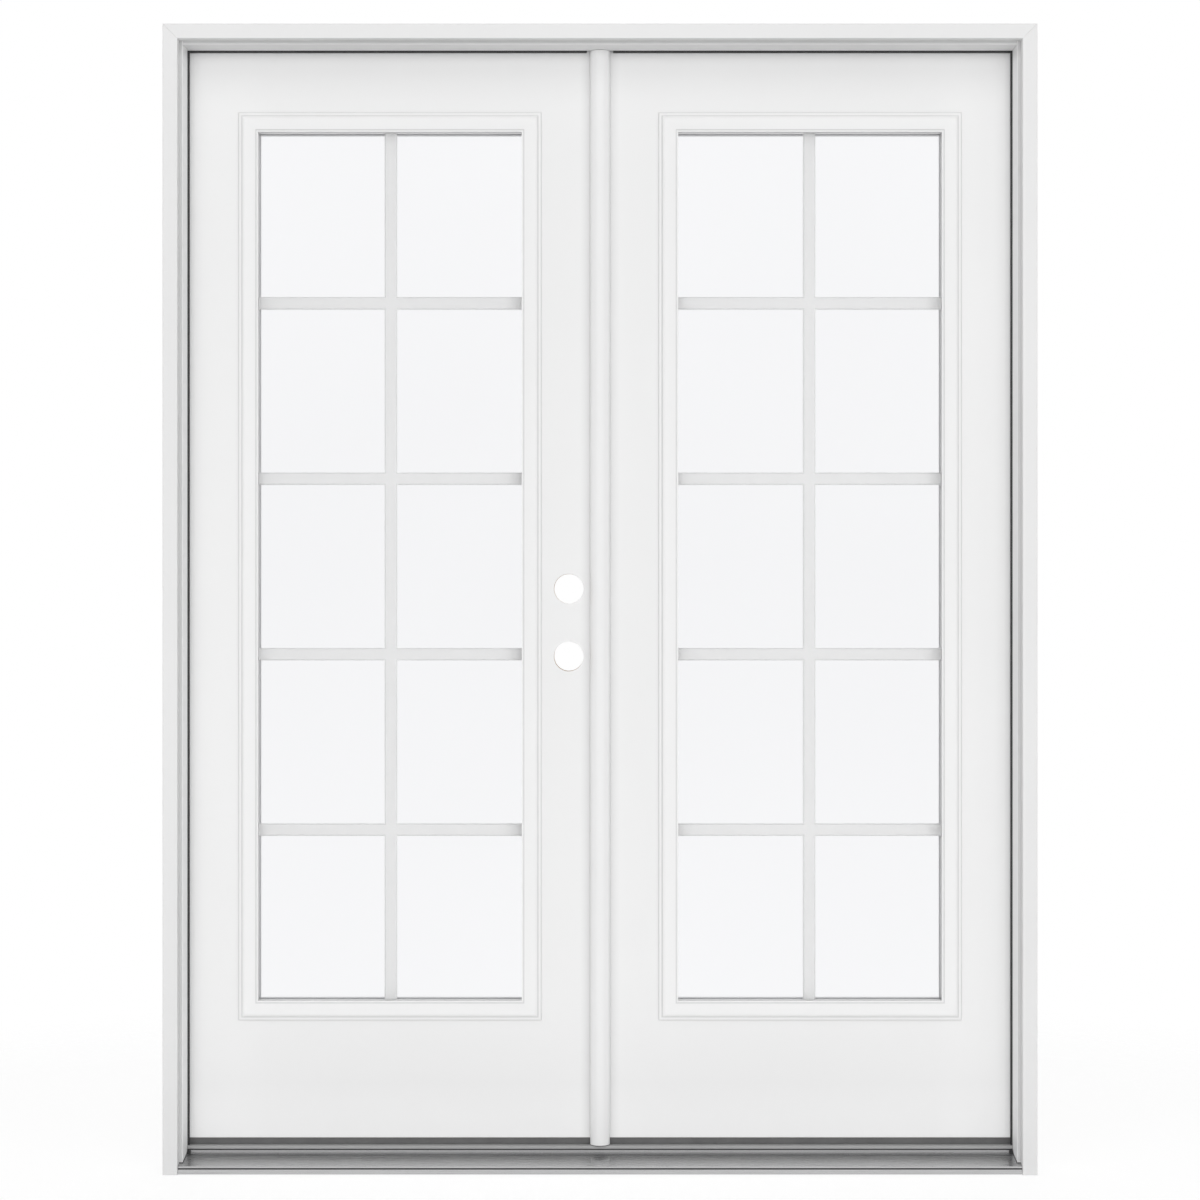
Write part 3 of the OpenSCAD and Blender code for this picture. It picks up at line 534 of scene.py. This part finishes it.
@dataclass(frozen=True)
class Metal(Finish):
    """Bare or plated metal, with the lines of its die or its brush."""

    line_size: float = 0.5 * MM
    line_depth: float = 0.02 * MM
    grain: Grain = Grain.ALONG_X
    tone_lines: float = 4.0
    gloss_lines: float = 2.0
    gloss_share: float = 0.25

    def paint(self, graph: ShaderGraph) -> None:
        """Give the shader drawn metal.

        Args:
            graph: Graph of the material.
        """
        graph.fix("Metallic", 1.0)
        self.tone(graph, self.tone_lines * self.line_size, self.grain)
        self.gloss(graph, self.gloss_lines * self.line_size, self.gloss_share, self.grain)
        graph.relief(graph.noise(self.line_size, Detail.FINE, self.grain), self.line_depth)


@dataclass(frozen=True)
class Rubber(Finish):
    """Foam or vinyl with small pores."""

    pore_size: float = 0.8 * MM
    pore_depth: float = 0.08 * MM
    tone_size: float = 30 * MM
    gloss_size: float = 20 * MM
    gloss_share: float = 0.12
    specular: float = 0.3

    def paint(self, graph: ShaderGraph) -> None:
        """Give the shader a dull, pored skin.

        Args:
            graph: Graph of the material.
        """
        graph.fix("Specular IOR Level", self.specular)
        self.tone(graph, self.tone_size)
        self.gloss(graph, self.gloss_size, self.gloss_share)
        graph.relief(graph.cells(self.pore_size), self.pore_depth)


@dataclass(frozen=True)
class Timber(Finish):
    """Sawn softwood, with its growth lines along Z or X."""

    line_size: float = 5 * MM
    grain: Grain = Grain.ALONG_Z
    pore_size: float = 0.7 * MM
    pore_depth: float = 0.12 * MM
    gloss_size: float = 30 * MM
    gloss_share: float = 0.1

    def paint(self, graph: ShaderGraph) -> None:
        """Give the shader growth lines and pores.

        Args:
            graph: Graph of the material.
        """
        self.tone(graph, self.line_size, self.grain)
        self.gloss(graph, self.gloss_size, self.gloss_share, self.grain)
        graph.relief(graph.noise(self.pore_size, Detail.FINE, self.grain), self.pore_depth)


@dataclass(frozen=True)
class RigidFoam(Finish):
    """Cut foam with open cells."""

    cell_size: float = 1.5 * MM
    cell_depth: float = 0.3 * MM
    tone_size: float = 20 * MM
    gloss_size: float = 20 * MM
    gloss_share: float = 0.05
    specular: float = 0.2

    def paint(self, graph: ShaderGraph) -> None:
        """Give the shader cut cells.

        Args:
            graph: Graph of the material.
        """
        graph.fix("Specular IOR Level", self.specular)
        self.tone(graph, self.tone_size)
        self.gloss(graph, self.gloss_size, self.gloss_share)
        graph.relief(graph.cells(self.cell_size), self.cell_depth)


@dataclass(frozen=True)
class Glass(Finish):
    """Clear float glass with a trace of waviness."""

    ior: float = 1.33
    tone_size: float = 500 * MM
    wave_size: float = 250 * MM
    wave_depth: float = 0.02 * MM

    def paint(self, graph: ShaderGraph) -> None:
        """Give the shader clear glass.

        Args:
            graph: Graph of the material.
        """
        graph.fix("Transmission Weight", 1.0)
        graph.fix("IOR", self.ior)
        graph.fix("Roughness", self.roughness)
        self.tone(graph, self.tone_size)
        graph.relief(graph.noise(self.wave_size, Detail.SOFT), self.wave_depth)
        graph.pass_lamps(self.colour)


# Painted shade: the jamb's front face, in the nook behind the trim, darker.
PAINTED_SHADE_BEHIND_TRIM = Shade(Axis.Y, JAMB_FRONT + 0.15 * MM, JAMB_FRONT, 0.3)
# Painted shade: the head jamb and the tops of the side jambs darker.
PAINTED_SHADE_UNDER_HEAD = Shade(Axis.Z, 2006 * MM, 2022 * MM, 0.14)
# Painted shade: the trim darker towards the bottom.
PAINTED_SHADE_LOW_ON_TRIM = Shade(Axis.Z, 900 * MM, 150 * MM, 0.05)
# Painted shade and reflection: the sill deck darker towards its back and the riser dark, standing for the
# dark sweep seen in the deck.
PAINTED_SHADE_UP_THE_SILL = Shade(Axis.Z, 14.5 * MM, 22 * MM, 0.24)
# Painted light: the leaves darker away from their hinge edges, so the stiles by the jambs look lit.
PAINTED_LIGHT_BY_HINGES = Shade(Axis.X, 745 * MM, 610 * MM, 0.055)
# Painted light: the leaves darker above their bottom rails, so the bottoms by the sill look lit.
PAINTED_LIGHT_BY_SWEEP = Shade(Axis.Z, 55 * MM, 150 * MM, 0.09)
# Painted shade: the leaves darker beside the astragal's cover.
PAINTED_SHADE_BY_COVER = Shade(Axis.X, 36 * MM, 20 * MM, 0.1)
# Painted light: the cover's ridge darker, so its rounded sides look lit.
PAINTED_LIGHT_ON_COVER_SIDES = Shade(Axis.X, 17 * MM, 8 * MM, 0.08)
# Painted reflection: the inner panes are tinted a little more towards mid-height, so that their tops and
# bottoms look lighter.
PAINTED_PANE_REFLECTION_LOW = Shade(Axis.Z, 300 * MM, 1080 * MM, 0.028)
PAINTED_PANE_REFLECTION_HIGH = Shade(Axis.Z, 1880 * MM, 1100 * MM, 0.028)

FINISHES: dict[str, Finish] = {
    "painted_jamb": Paint(
        "jamb_paint",
        # Paint lighter than the trim's, so that the jamb's side faces, which the lamps reach little, come
        # out lighter: painted light.
        (0.93, 0.93, 0.93),
        roughness=0.5,
        shades=(PAINTED_SHADE_BEHIND_TRIM, PAINTED_SHADE_UNDER_HEAD),
        peel_size=1.2 * MM,
        grain=Grain.ALONG_Z,
    ),
    "painted_trim": Paint(
        "trim_paint",
        (0.80, 0.80, 0.80),
        roughness=0.48,
        shades=(PAINTED_SHADE_LOW_ON_TRIM,),
        peel_size=1.2 * MM,
        grain=Grain.ALONG_Z,
    ),
    "sill_base": Timber(
        "sill_board", (0.30, 0.24, 0.18), roughness=0.8, drift=0.25, grain=Grain.ALONG_X
    ),
    "sill_metal": Metal(
        "mill_sill",
        (0.53, 0.53, 0.535),
        roughness=0.27,
        drift=0.1,
        shades=(PAINTED_SHADE_UP_THE_SILL,),
        line_depth=0.005 * MM,
    ),
    "sill_cap": Paint(
        "cap_composite",
        (0.41, 0.41, 0.41),
        roughness=0.6,
        drift=0.1,
        peel_size=0.8 * MM,
        grain=Grain.ALONG_X,
    ),
    "seal_foam": Rubber("seal_film", (0.045, 0.045, 0.046), roughness=0.6, drift=0.2),
    "sweep_rubber": Rubber(
        "sweep_vinyl", (0.14, 0.14, 0.14), roughness=0.55, drift=0.15, pore_size=0.5 * MM
    ),
    "hinge_steel": Metal(
        "satin_nickel",
        (0.60, 0.585, 0.55),
        roughness=0.33,
        drift=0.08,
        line_size=0.25 * MM,
        grain=Grain.ALONG_Z,
    ),
    "strike_steel": Metal(
        "strike_zinc",
        (0.62, 0.62, 0.61),
        roughness=0.35,
        drift=0.1,
        line_size=0.3 * MM,
        grain=Grain.ALONG_Z,
    ),
    "bolt_steel": Metal(
        "bolt_zinc",
        (0.60, 0.60, 0.59),
        roughness=0.3,
        drift=0.1,
        line_size=0.3 * MM,
        grain=Grain.ALONG_Z,
    ),
    "screw_steel": Metal(
        "screw_zinc",
        (0.60, 0.60, 0.58),
        roughness=0.35,
        drift=0.1,
        line_size=0.2 * MM,
        grain=Grain.NONE,
    ),
    "door_skin": Paint(
        "skin_paint",
        # Base made light so that, after the painted light and shade below, the middle of each leaf comes to
        # about 0.83.
        (0.96, 0.96, 0.96),
        roughness=0.42,
        drift=0.02,
        shades=(PAINTED_LIGHT_BY_HINGES, PAINTED_LIGHT_BY_SWEEP, PAINTED_SHADE_BY_COVER),
        peel_size=2.2 * MM,
    ),
    "stile_wood": Timber("stile_timber", (0.60, 0.43, 0.26), roughness=0.65, drift=0.35),
    "core_foam": RigidFoam("core_foam", (0.74, 0.63, 0.36), roughness=0.85, drift=0.12),
    "lite_plastic": RingMoulding("lite_moulding", (0.85, 0.85, 0.85), roughness=0.45, drift=0.02),
    "pane_glass": Glass("clear_pane", (0.995, 0.996, 0.997), roughness=0.0, drift=0.004),
    "spacer_metal": Metal(
        "spacer_strip",
        (0.86, 0.86, 0.86),
        roughness=0.5,
        drift=0.06,
        line_size=0.4 * MM,
        grain=Grain.NONE,
    ),
    "grille_paint": Paint(
        # Paint made light to make up for the light that the glass holds back from the bars: painted light.
        "grille_paint", (0.87, 0.87, 0.87), roughness=0.4, drift=0.02, peel_size=1.5 * MM
    ),
    "astragal_metal": Paint(
        "astragal_coat", (0.80, 0.80, 0.80), roughness=0.45, drift=0.03, peel_size=1.5 * MM
    ),
    "cover_plastic": Moulding(
        # Base made light; with the painted shade on the ridge, the cover's sides come out lighter: painted
        # light.
        "cover_moulding", (0.91, 0.91, 0.91), roughness=0.42, drift=0.02, shades=(PAINTED_LIGHT_ON_COVER_SIDES,)
    ),
}

COATED_PANE = Glass(
    "coated_pane",
    (0.965, 0.967, 0.98),
    roughness=0.0,
    drift=0.006,
    shades=(PAINTED_PANE_REFLECTION_LOW, PAINTED_PANE_REFLECTION_HIGH),
)


@cache
def material_of(finish: Finish) -> bpy.types.Material:
    """Material of a finish, made once.

    Args:
        finish: Finish to make.

    Returns:
        The material that all its pieces share.
    """
    graph = ShaderGraph(finish.name)
    finish.paint(graph)
    for shade in finish.shades:
        shade.lay(graph)
    return graph.material


def select_only(piece: bpy.types.Object) -> None:
    """Make a piece the only one selected, and the active one.

    Args:
        piece: Piece to select.
    """
    bpy.ops.object.select_all(action="DESELECT")
    piece.select_set(True)
    bpy.context.view_layer.objects.active = piece


@dataclass
class SubAssembly:
    """A group of pieces on one body, dressed by the finish of each one's material slot."""

    body: str

    def dress(self, *nodes: str, finish: Finish | None = None) -> None:
        """Dress CAD nodes that stay as they are.

        Args:
            nodes: Names of the nodes.
            finish: Finish to use in place of the one of each node's material slot.
        """
        for node in nodes:
            material = material_of(finish or FINISHES[SLOT_OF[node]])
            for slot in frame["nodes"][node].material_slots:
                slot.material = material
            log.info("dressed %s", node)

    def ease(self, node: str, radius: float, front_of: float | None = None) -> None:
        """Stand in for a CAD node with a piece that has its sharp edges rounded.

        Args:
            node: Node that it stands for.
            radius: Radius of the rounded edges.
            front_of: Depth that the rounded edges lie in front of; without it, all are rounded.
        """
        piece = self.merged_copy(node, f"{node}_eased")
        bevel = piece.modifiers.new("eased_edges", "BEVEL")
        bevel.width = radius
        bevel.segments = EDGE_FACETS
        bevel.angle_limit = SHARP_ANGLE
        bevel.limit_method = "ANGLE" if front_of is None else "WEIGHT"
        if front_of is not None:
            self.weigh_edges(piece.data, front_of)
        bpy.ops.object.modifier_apply(modifier=bevel.name)
        bpy.ops.object.shade_smooth_by_angle(angle=SMOOTH_ANGLE)
        even = piece.modifiers.new("flat_faces", "WEIGHTED_NORMAL")
        even.keep_sharp = True
        bpy.ops.object.modifier_apply(modifier=even.name)
        self.finish_piece(piece, SLOT_OF[node])
        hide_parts(node)

    def merged_copy(self, node: str, name: str) -> bpy.types.Object:
        """Copy a CAD node, with its loose triangles merged and its flat faces made whole.

        Args:
            node: Node to copy.
            name: Name of the copy.

        Returns:
            The bare copy, selected.
        """
        piece = bpy.data.objects.new(name, frame["nodes"][node].data.copy())
        bpy.context.scene.collection.objects.link(piece)
        select_only(piece)
        bpy.ops.mesh.customdata_custom_splitnormals_clear()
        bpy.ops.object.mode_set(mode="EDIT")
        bpy.ops.mesh.select_all(action="SELECT")
        bpy.ops.mesh.remove_doubles(threshold=MERGE_DISTANCE)
        bpy.ops.mesh.dissolve_limited(angle_limit=FLAT_ANGLE)
        bpy.ops.object.mode_set(mode="OBJECT")
        return piece

    def weigh_edges(self, mesh: bpy.types.Mesh, front_of: float) -> None:
        """Mark the edges that a bevel by weight rounds.

        Args:
            mesh: Mesh to mark.
            front_of: Depth that they lie in front of.
        """
        weights = mesh.attributes.new("bevel_weight_edge", "FLOAT", "EDGE")
        for edge, weight in zip(mesh.edges, weights.data):
            weight.value = float(all(mesh.vertices[corner].co.y < front_of for corner in edge.vertices))

    def strip(self, name: str, start: Vector, end: Vector, width: float, height: float) -> bpy.types.Object:
        """Lay a straight strip with rounded edges.

        Args:
            name: Name of the strip.
            start: Middle of its first end.
            end: Middle of its other end.
            width: Size across, on the level.
            height: Size across, upwards.

        Returns:
            The bare strip.
        """
        bpy.ops.object.select_all(action="DESELECT")
        bpy.ops.mesh.primitive_cube_add(size=1.0)
        piece = bpy.context.active_object
        piece.name = name
        piece.scale = (width, (end - start).length, height)
        piece.rotation_euler = (end - start).to_track_quat("Y", "Z").to_euler()
        piece.location = (start + end) / 2
        bpy.ops.object.transform_apply(location=True, rotation=True, scale=True)
        bpy.ops.object.mode_set(mode="EDIT")
        bpy.ops.mesh.select_all(action="SELECT")
        rounding = STRIP_ROUNDING * min(width, height)
        bpy.ops.mesh.bevel(offset=rounding, segments=EDGE_FACETS, affect="EDGES")
        bpy.ops.object.mode_set(mode="OBJECT")
        bpy.ops.object.shade_smooth_by_angle(angle=SMOOTH_ANGLE)
        return piece

    def finish_piece(self, piece: bpy.types.Object, slot: str) -> None:
        """Dress a new piece and set it on its body.

        Args:
            piece: New piece.
            slot: Material slot that its finish comes from.
        """
        piece.data.materials.clear()
        piece.data.materials.append(material_of(FINISHES[slot]))
        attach(piece, self.body)
        log.info("built %s", piece.name)


@dataclass
class DoorFrame(SubAssembly):
    """Side jambs, head jamb and outside trim."""

    body: str = "frame"
    jamb_edge: float = 0.5 * MM
    trim_edge: float = 0.6 * MM
    strike_front_y: float = 10.0 * MM

    def build(self) -> None:
        """Round the edges of the jambs and the trim, on the head only in front of its strike."""
        for hand in Hand:
            self.ease(f"{hand.name.lower()}_jamb", self.jamb_edge)
            self.ease(f"{hand.name.lower()}_trim", self.trim_edge)
        self.ease("head_jamb", self.jamb_edge, self.strike_front_y)
        self.ease("head_trim", self.trim_edge)


@dataclass
class Sill(SubAssembly):
    """Metal deck on its base, with the cap that the leaves close over."""

    body: str = "frame"
    deck_edge: float = 0.4 * MM
    cap_edge: float = 0.8 * MM
    cap_lip_y: float = 3.0 * MM
    pad_edge: float = 0.8 * MM
    nose_reach: float = 756.8 * MM
    break_y: float = -70.0 * MM
    break_z: float = 11.1 * MM
    break_w: float = 4.2 * MM
    break_h: float = 2.4 * MM
    cap_strip_reach: float = 750.6 * MM
    cap_strip_y: float = 4.4 * MM
    cap_strip_z: float = 32.0 * MM
    cap_strip_w: float = 2.6 * MM
    cap_strip_h: float = 1.9 * MM
    foot_x: float = 750.6 * MM
    foot_front_y: float = -53.6 * MM
    foot_front_z: float = 18.4 * MM
    foot_back_y: float = 2.2 * MM
    foot_back_z: float = 26.5 * MM
    bead: float = 1.3 * MM

    def build(self) -> None:
        """Round the deck, the cap's lip and the pads, dress the base and lay the strips."""
        self.dress("sill_base")
        self.ease("sill_deck", self.deck_edge)
        self.ease("sill_cap", self.cap_edge, self.cap_lip_y)
        self.ease("corner_pads", self.pad_edge)
        self.lay_break()
        self.lay_cap_shade_strip()
        for hand in Hand:
            self.shade_foot(hand)

    def lay_break(self) -> None:
        """Fill the groove over the nose with a black vinyl thermal break, which also stands in as painted
        shade in the groove.
        """
        start = Vector((-self.nose_reach, self.break_y, self.break_z))
        end = Vector((self.nose_reach, self.break_y, self.break_z))
        filler = self.strip("thermal_break", start, end, self.break_w, self.break_h)
        self.finish_piece(filler, "seal_foam")

    def lay_cap_shade_strip(self) -> None:
        """Lay a dark strip between the riser and the cap, as painted shade under the cap's lip."""
        start = Vector((-self.cap_strip_reach, self.cap_strip_y, self.cap_strip_z))
        end = Vector((self.cap_strip_reach, self.cap_strip_y, self.cap_strip_z))
        shade_strip = self.strip("cap_gasket", start, end, self.cap_strip_w, self.cap_strip_h)
        self.finish_piece(shade_strip, "seal_foam")

    def shade_foot(self, hand: Hand) -> None:
        """Run a dark bead round the foot of one jamb, as painted shade for the gap between the jamb's foot
        and the sill.

        Args:
            hand: Which jamb.
        """
        outer = Vector((hand.value * self.nose_reach, self.foot_front_y, self.foot_front_z))
        corner = Vector((hand.value * self.foot_x, self.foot_front_y, self.foot_front_z))
        back = Vector((hand.value * self.foot_x, self.foot_back_y, self.foot_back_z))
        bead = self.strip(f"foot_bead_{hand.name.lower()}", outer, corner, self.bead, self.bead)
        side_bead = self.strip("foot_bead_side", corner, back, self.bead, self.bead)
        select_only(bead)
        side_bead.select_set(True)
        bpy.ops.object.join()
        self.finish_piece(bead, "seal_foam")


@dataclass
class StopSeals(SubAssembly):
    """Foam seals in the kerfs of the stops."""

    body: str = "frame"

    def build(self) -> None:
        """Dress the seals."""
        self.dress("left_jamb_seal", "right_jamb_seal", "head_seal")


@dataclass
class JambHinges(SubAssembly):
    """Hinge plates on the jambs, with their pins and screws, and the bolt strikes."""

    body: str = "frame"
    plate_edge: float = 0.3 * MM

    def build(self) -> None:
        """Round the plates and pins, and dress the screws and strikes."""
        self.ease("jamb_hinge_leaves", self.plate_edge)
        self.ease("hinge_pins", self.plate_edge)
        self.dress("jamb_hinge_screws", "bolt_strikes")


@dataclass
class Leaf(SubAssembly):
    """One glazed leaf."""

    side: Side = Side.ACTIVE
    skin_edge: float = 0.25 * MM
    lite_edge: float = 0.4 * MM
    bar_edge: float = 0.5 * MM
    sweep_edge: float = 0.4 * MM
    plate_edge: float = 0.3 * MM

    def name(self, part: str) -> str:
        """Node name of one of this leaf's parts."""
        return f"{self.side.value}_{part}"

    def build(self) -> None:
        """Round what shows and dress the rest."""
        self.ease(self.name("outer_skin"), self.skin_edge)
        self.ease(self.name("inner_skin"), self.skin_edge)
        self.ease(self.name("outer_lite_frame"), self.lite_edge)
        self.ease(self.name("inner_lite_frame"), self.lite_edge)
        self.ease(self.name("grille"), self.bar_edge)
        self.ease(self.name("door_sweep"), self.sweep_edge)
        self.ease(self.name("hinge_leaves"), self.plate_edge)
        core = ["hinge_stile", "lock_stile", "top_rail", "bottom_rail", "foam_core"]
        glazing = ["outer_glass", "glass_spacer", "lite_screws", "hinge_screws"]
        self.dress(*[self.name(part) for part in core + glazing])
        self.dress(self.name("inner_glass"), finish=COATED_PANE)
        if self.side is Side.ACTIVE:
            self.dress(self.name("lock_block"))


@dataclass
class Astragal(SubAssembly):
    """Upright on the passive leaf that covers the gap between the leaves."""

    body: str = "passive_leaf"
    cover_edge: float = 0.6 * MM
    web_edge: float = 0.3 * MM
    pad_share: float = 0.95
    pad_t: float = 0.7 * MM

    def build(self) -> None:
        """Round the cover and its web, dress the seal and the strikes, and pad the cover's foot."""
        self.ease("astragal_cover", self.cover_edge)
        self.ease("astragal_body", self.web_edge)
        self.dress("astragal_seal", "astragal_strikes")
        self.pad_foot()

    def pad_foot(self) -> None:
        """Set a thin black foam pad, cut to the cover's outline, under the cover: an end seal that also
        stands in as painted shade under the cover.
        """
        low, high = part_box("astragal_cover")
        pad = self.merged_copy("astragal_cover", "cover_foot_pad")
        bpy.ops.object.mode_set(mode="EDIT")
        bpy.ops.mesh.select_all(action="SELECT")
        cut = (0.0, 0.0, low.z + self.pad_t)
        bpy.ops.mesh.bisect(plane_co=cut, plane_no=(0.0, 0.0, 1.0), use_fill=True, clear_outer=True)
        bpy.ops.mesh.select_all(action="SELECT")
        bpy.ops.transform.translate(value=(0.0, 0.0, -self.pad_t))
        middle = ((low.x + high.x) / 2, (low.y + high.y) / 2, low.z)
        bpy.ops.transform.resize(value=(self.pad_share, self.pad_share, 1.0), center_override=middle)
        bpy.ops.object.mode_set(mode="OBJECT")
        bpy.ops.object.shade_smooth_by_angle(angle=SMOOTH_ANGLE)
        self.finish_piece(pad, "seal_foam")


@dataclass
class FlushBolt(SubAssembly):
    """Sliding bolt in the lock edge of the passive leaf."""

    node: str = "top_flush_bolt"
    edge: float = 0.3 * MM

    def build(self) -> None:
        """Round the bolt."""
        self.ease(self.node, self.edge)


@dataclass(frozen=True)
class Lamp:
    """Soft area lamp: its place, its width and height, its power in watts, and if mirrors show it."""

    name: str
    place: tuple[float, float, float]
    size: tuple[float, float]
    power: float
    mirrored: bool = True


LAMPS = (
    Lamp("front", (0.0, -7.2, 1.6), (8.0, 5.0), 215.0, mirrored=False),
    Lamp("low", (0.0, -1.9, 0.12), (3.2, 0.2), 2.4, mirrored=False),
    Lamp("back", (0.0, 6.5, 2.2), (7.0, 4.0), 180.0, mirrored=False),
    Lamp("left", (-4.8, -4.8, 1.6), (2.5, 4.0), 32.0),
    Lamp("right", (4.8, -4.8, 1.6), (2.5, 4.0), 44.0),
    Lamp("key", (0.0, -3.6, 4.6), (5.0, 2.0), 38.0),
)


@dataclass
class Studio:
    """Pale floor, soft light and the camera, straight in front of the outside."""

    eye_distance: float = 5.25
    eye_height: float = 1.031
    lens: float = 87.9
    sensor: float = 36.0
    floor_reach: float = 1.6
    floor_fade: float = 0.7
    floor_sides: int = 96
    floor_colour: Rgb = (0.94, 0.94, 0.94)
    floor_roughness: float = 0.9
    floor_specular: float = 0.1
    shadow_share: float = 0.3
    floor_glow: float = 0.78
    sky_strength: float = 0.42
    lamps: tuple[Lamp, ...] = LAMPS

    def build(self) -> None:
        """Make the whole studio."""
        self.make_camera()
        self.make_floor()
        self.make_world()
        for lamp in self.lamps:
            self.hang(lamp)
        bpy.context.scene.view_settings.view_transform = "Standard"

    def make_camera(self) -> None:
        """Place the camera."""
        data = bpy.data.cameras.new("front_camera")
        data.lens = self.lens
        data.sensor_width = self.sensor
        camera = bpy.data.objects.new("front_camera", data)
        camera.location = (0.0, cad_box[0].y - self.eye_distance, self.eye_height)
        camera.rotation_euler = (math.pi / 2, 0.0, 0.0)
        bpy.context.scene.collection.objects.link(camera)
        bpy.context.scene.camera = camera

    def make_floor(self) -> None:
        """Lay a round floor that keeps the shadow and fades into the background."""
        bpy.ops.object.select_all(action="DESELECT")
        reach = self.floor_reach + self.floor_fade
        bpy.ops.mesh.primitive_circle_add(vertices=self.floor_sides, radius=reach, fill_type="NGON")
        floor = bpy.context.active_object
        floor.name = "studio_floor"
        floor.data.materials.append(self.floor_paper(reach))

    def floor_paper(self, reach: float) -> bpy.types.Material:
        """Paper that looks white where it is lit, and fades out.

        Args:
            reach: Distance from the middle at which it is gone.

        Returns:
            Its material.
        """
        graph = ShaderGraph("floor_paper")
        graph.fix("Base Color", (*self.floor_colour, 1.0))
        graph.fix("Roughness", self.floor_roughness)
        graph.fix("Specular IOR Level", self.floor_specular)
        shaded = graph.nodes.new("ShaderNodeBsdfDiffuse")
        shaded.inputs["Color"].default_value = (self.shadow_share,) * 3 + (1.0,)
        glow = graph.nodes.new("ShaderNodeEmission")
        glow.inputs["Strength"].default_value = self.floor_glow
        both = graph.nodes.new("ShaderNodeAddShader")
        graph.links.new(shaded.outputs["BSDF"], both.inputs[0])
        graph.links.new(glow.outputs["Emission"], both.inputs[1])
        seen = seen_rays(graph.nodes, graph.links)
        lit = graph.shader.outputs["BSDF"]
        paper = blend_shaders(graph.nodes, graph.links, seen, lit, both.outputs["Shader"])
        length = graph.nodes.new("ShaderNodeVectorMath")
        length.operation = "LENGTH"
        graph.links.new(graph.place, length.inputs[0])
        fade = graph.ramp(length.outputs["Value"], self.floor_reach, reach)
        clear = graph.nodes.new("ShaderNodeBsdfTransparent").outputs["BSDF"]
        graph.show(blend_shaders(graph.nodes, graph.links, fade, paper, clear))
        return graph.material

    def make_world(self) -> None:
        """Light from all round, on a white background."""
        world = bpy.data.worlds.new("studio_world")
        world.use_nodes = True
        nodes, links = world.node_tree.nodes, world.node_tree.links
        nodes.clear()
        sky = nodes.new("ShaderNodeBackground")
        sky.inputs["Color"].default_value = WHITE
        sky.inputs["Strength"].default_value = self.sky_strength
        white = nodes.new("ShaderNodeBackground")
        white.inputs["Color"].default_value = WHITE
        white.inputs["Strength"].default_value = 1.0
        seen = seen_rays(nodes, links)
        mixed = blend_shaders(nodes, links, seen, sky.outputs["Background"], white.outputs["Background"])
        output = nodes.new("ShaderNodeOutputWorld")
        links.new(mixed, output.inputs["Surface"])
        bpy.context.scene.world = world

    def hang(self, lamp: Lamp) -> None:
        """Hang one lamp so that it faces the middle of the doors.

        Args:
            lamp: Lamp to hang.
        """
        data = bpy.data.lights.new(lamp.name, "AREA")
        data.shape = "RECTANGLE"
        data.size, data.size_y = lamp.size
        data.energy = lamp.power
        hung = bpy.data.objects.new(lamp.name, data)
        hung.location = lamp.place
        aim = Vector((0.0, 0.0, self.eye_height)) - Vector(lamp.place)
        hung.rotation_euler = aim.to_track_quat("-Z", "Y").to_euler()
        hung.visible_camera = hung.visible_transmission = False
        hung.visible_glossy = lamp.mirrored
        bpy.context.scene.collection.objects.link(hung)


def main() -> None:
    """Build and dress every sub-assembly, then the studio."""
    logging.basicConfig(level=logging.INFO, format="%(message)s")
    DoorFrame().build()
    Sill().build()
    StopSeals().build()
    JambHinges().build()
    Leaf("active_leaf", Side.ACTIVE).build()
    Leaf("passive_leaf", Side.PASSIVE).build()
    Astragal().build()
    FlushBolt("top_bolt", "top_flush_bolt").build()
    FlushBolt("bottom_bolt", "bottom_flush_bolt").build()
    Studio().build()


if __name__ == "__main__":
    main()
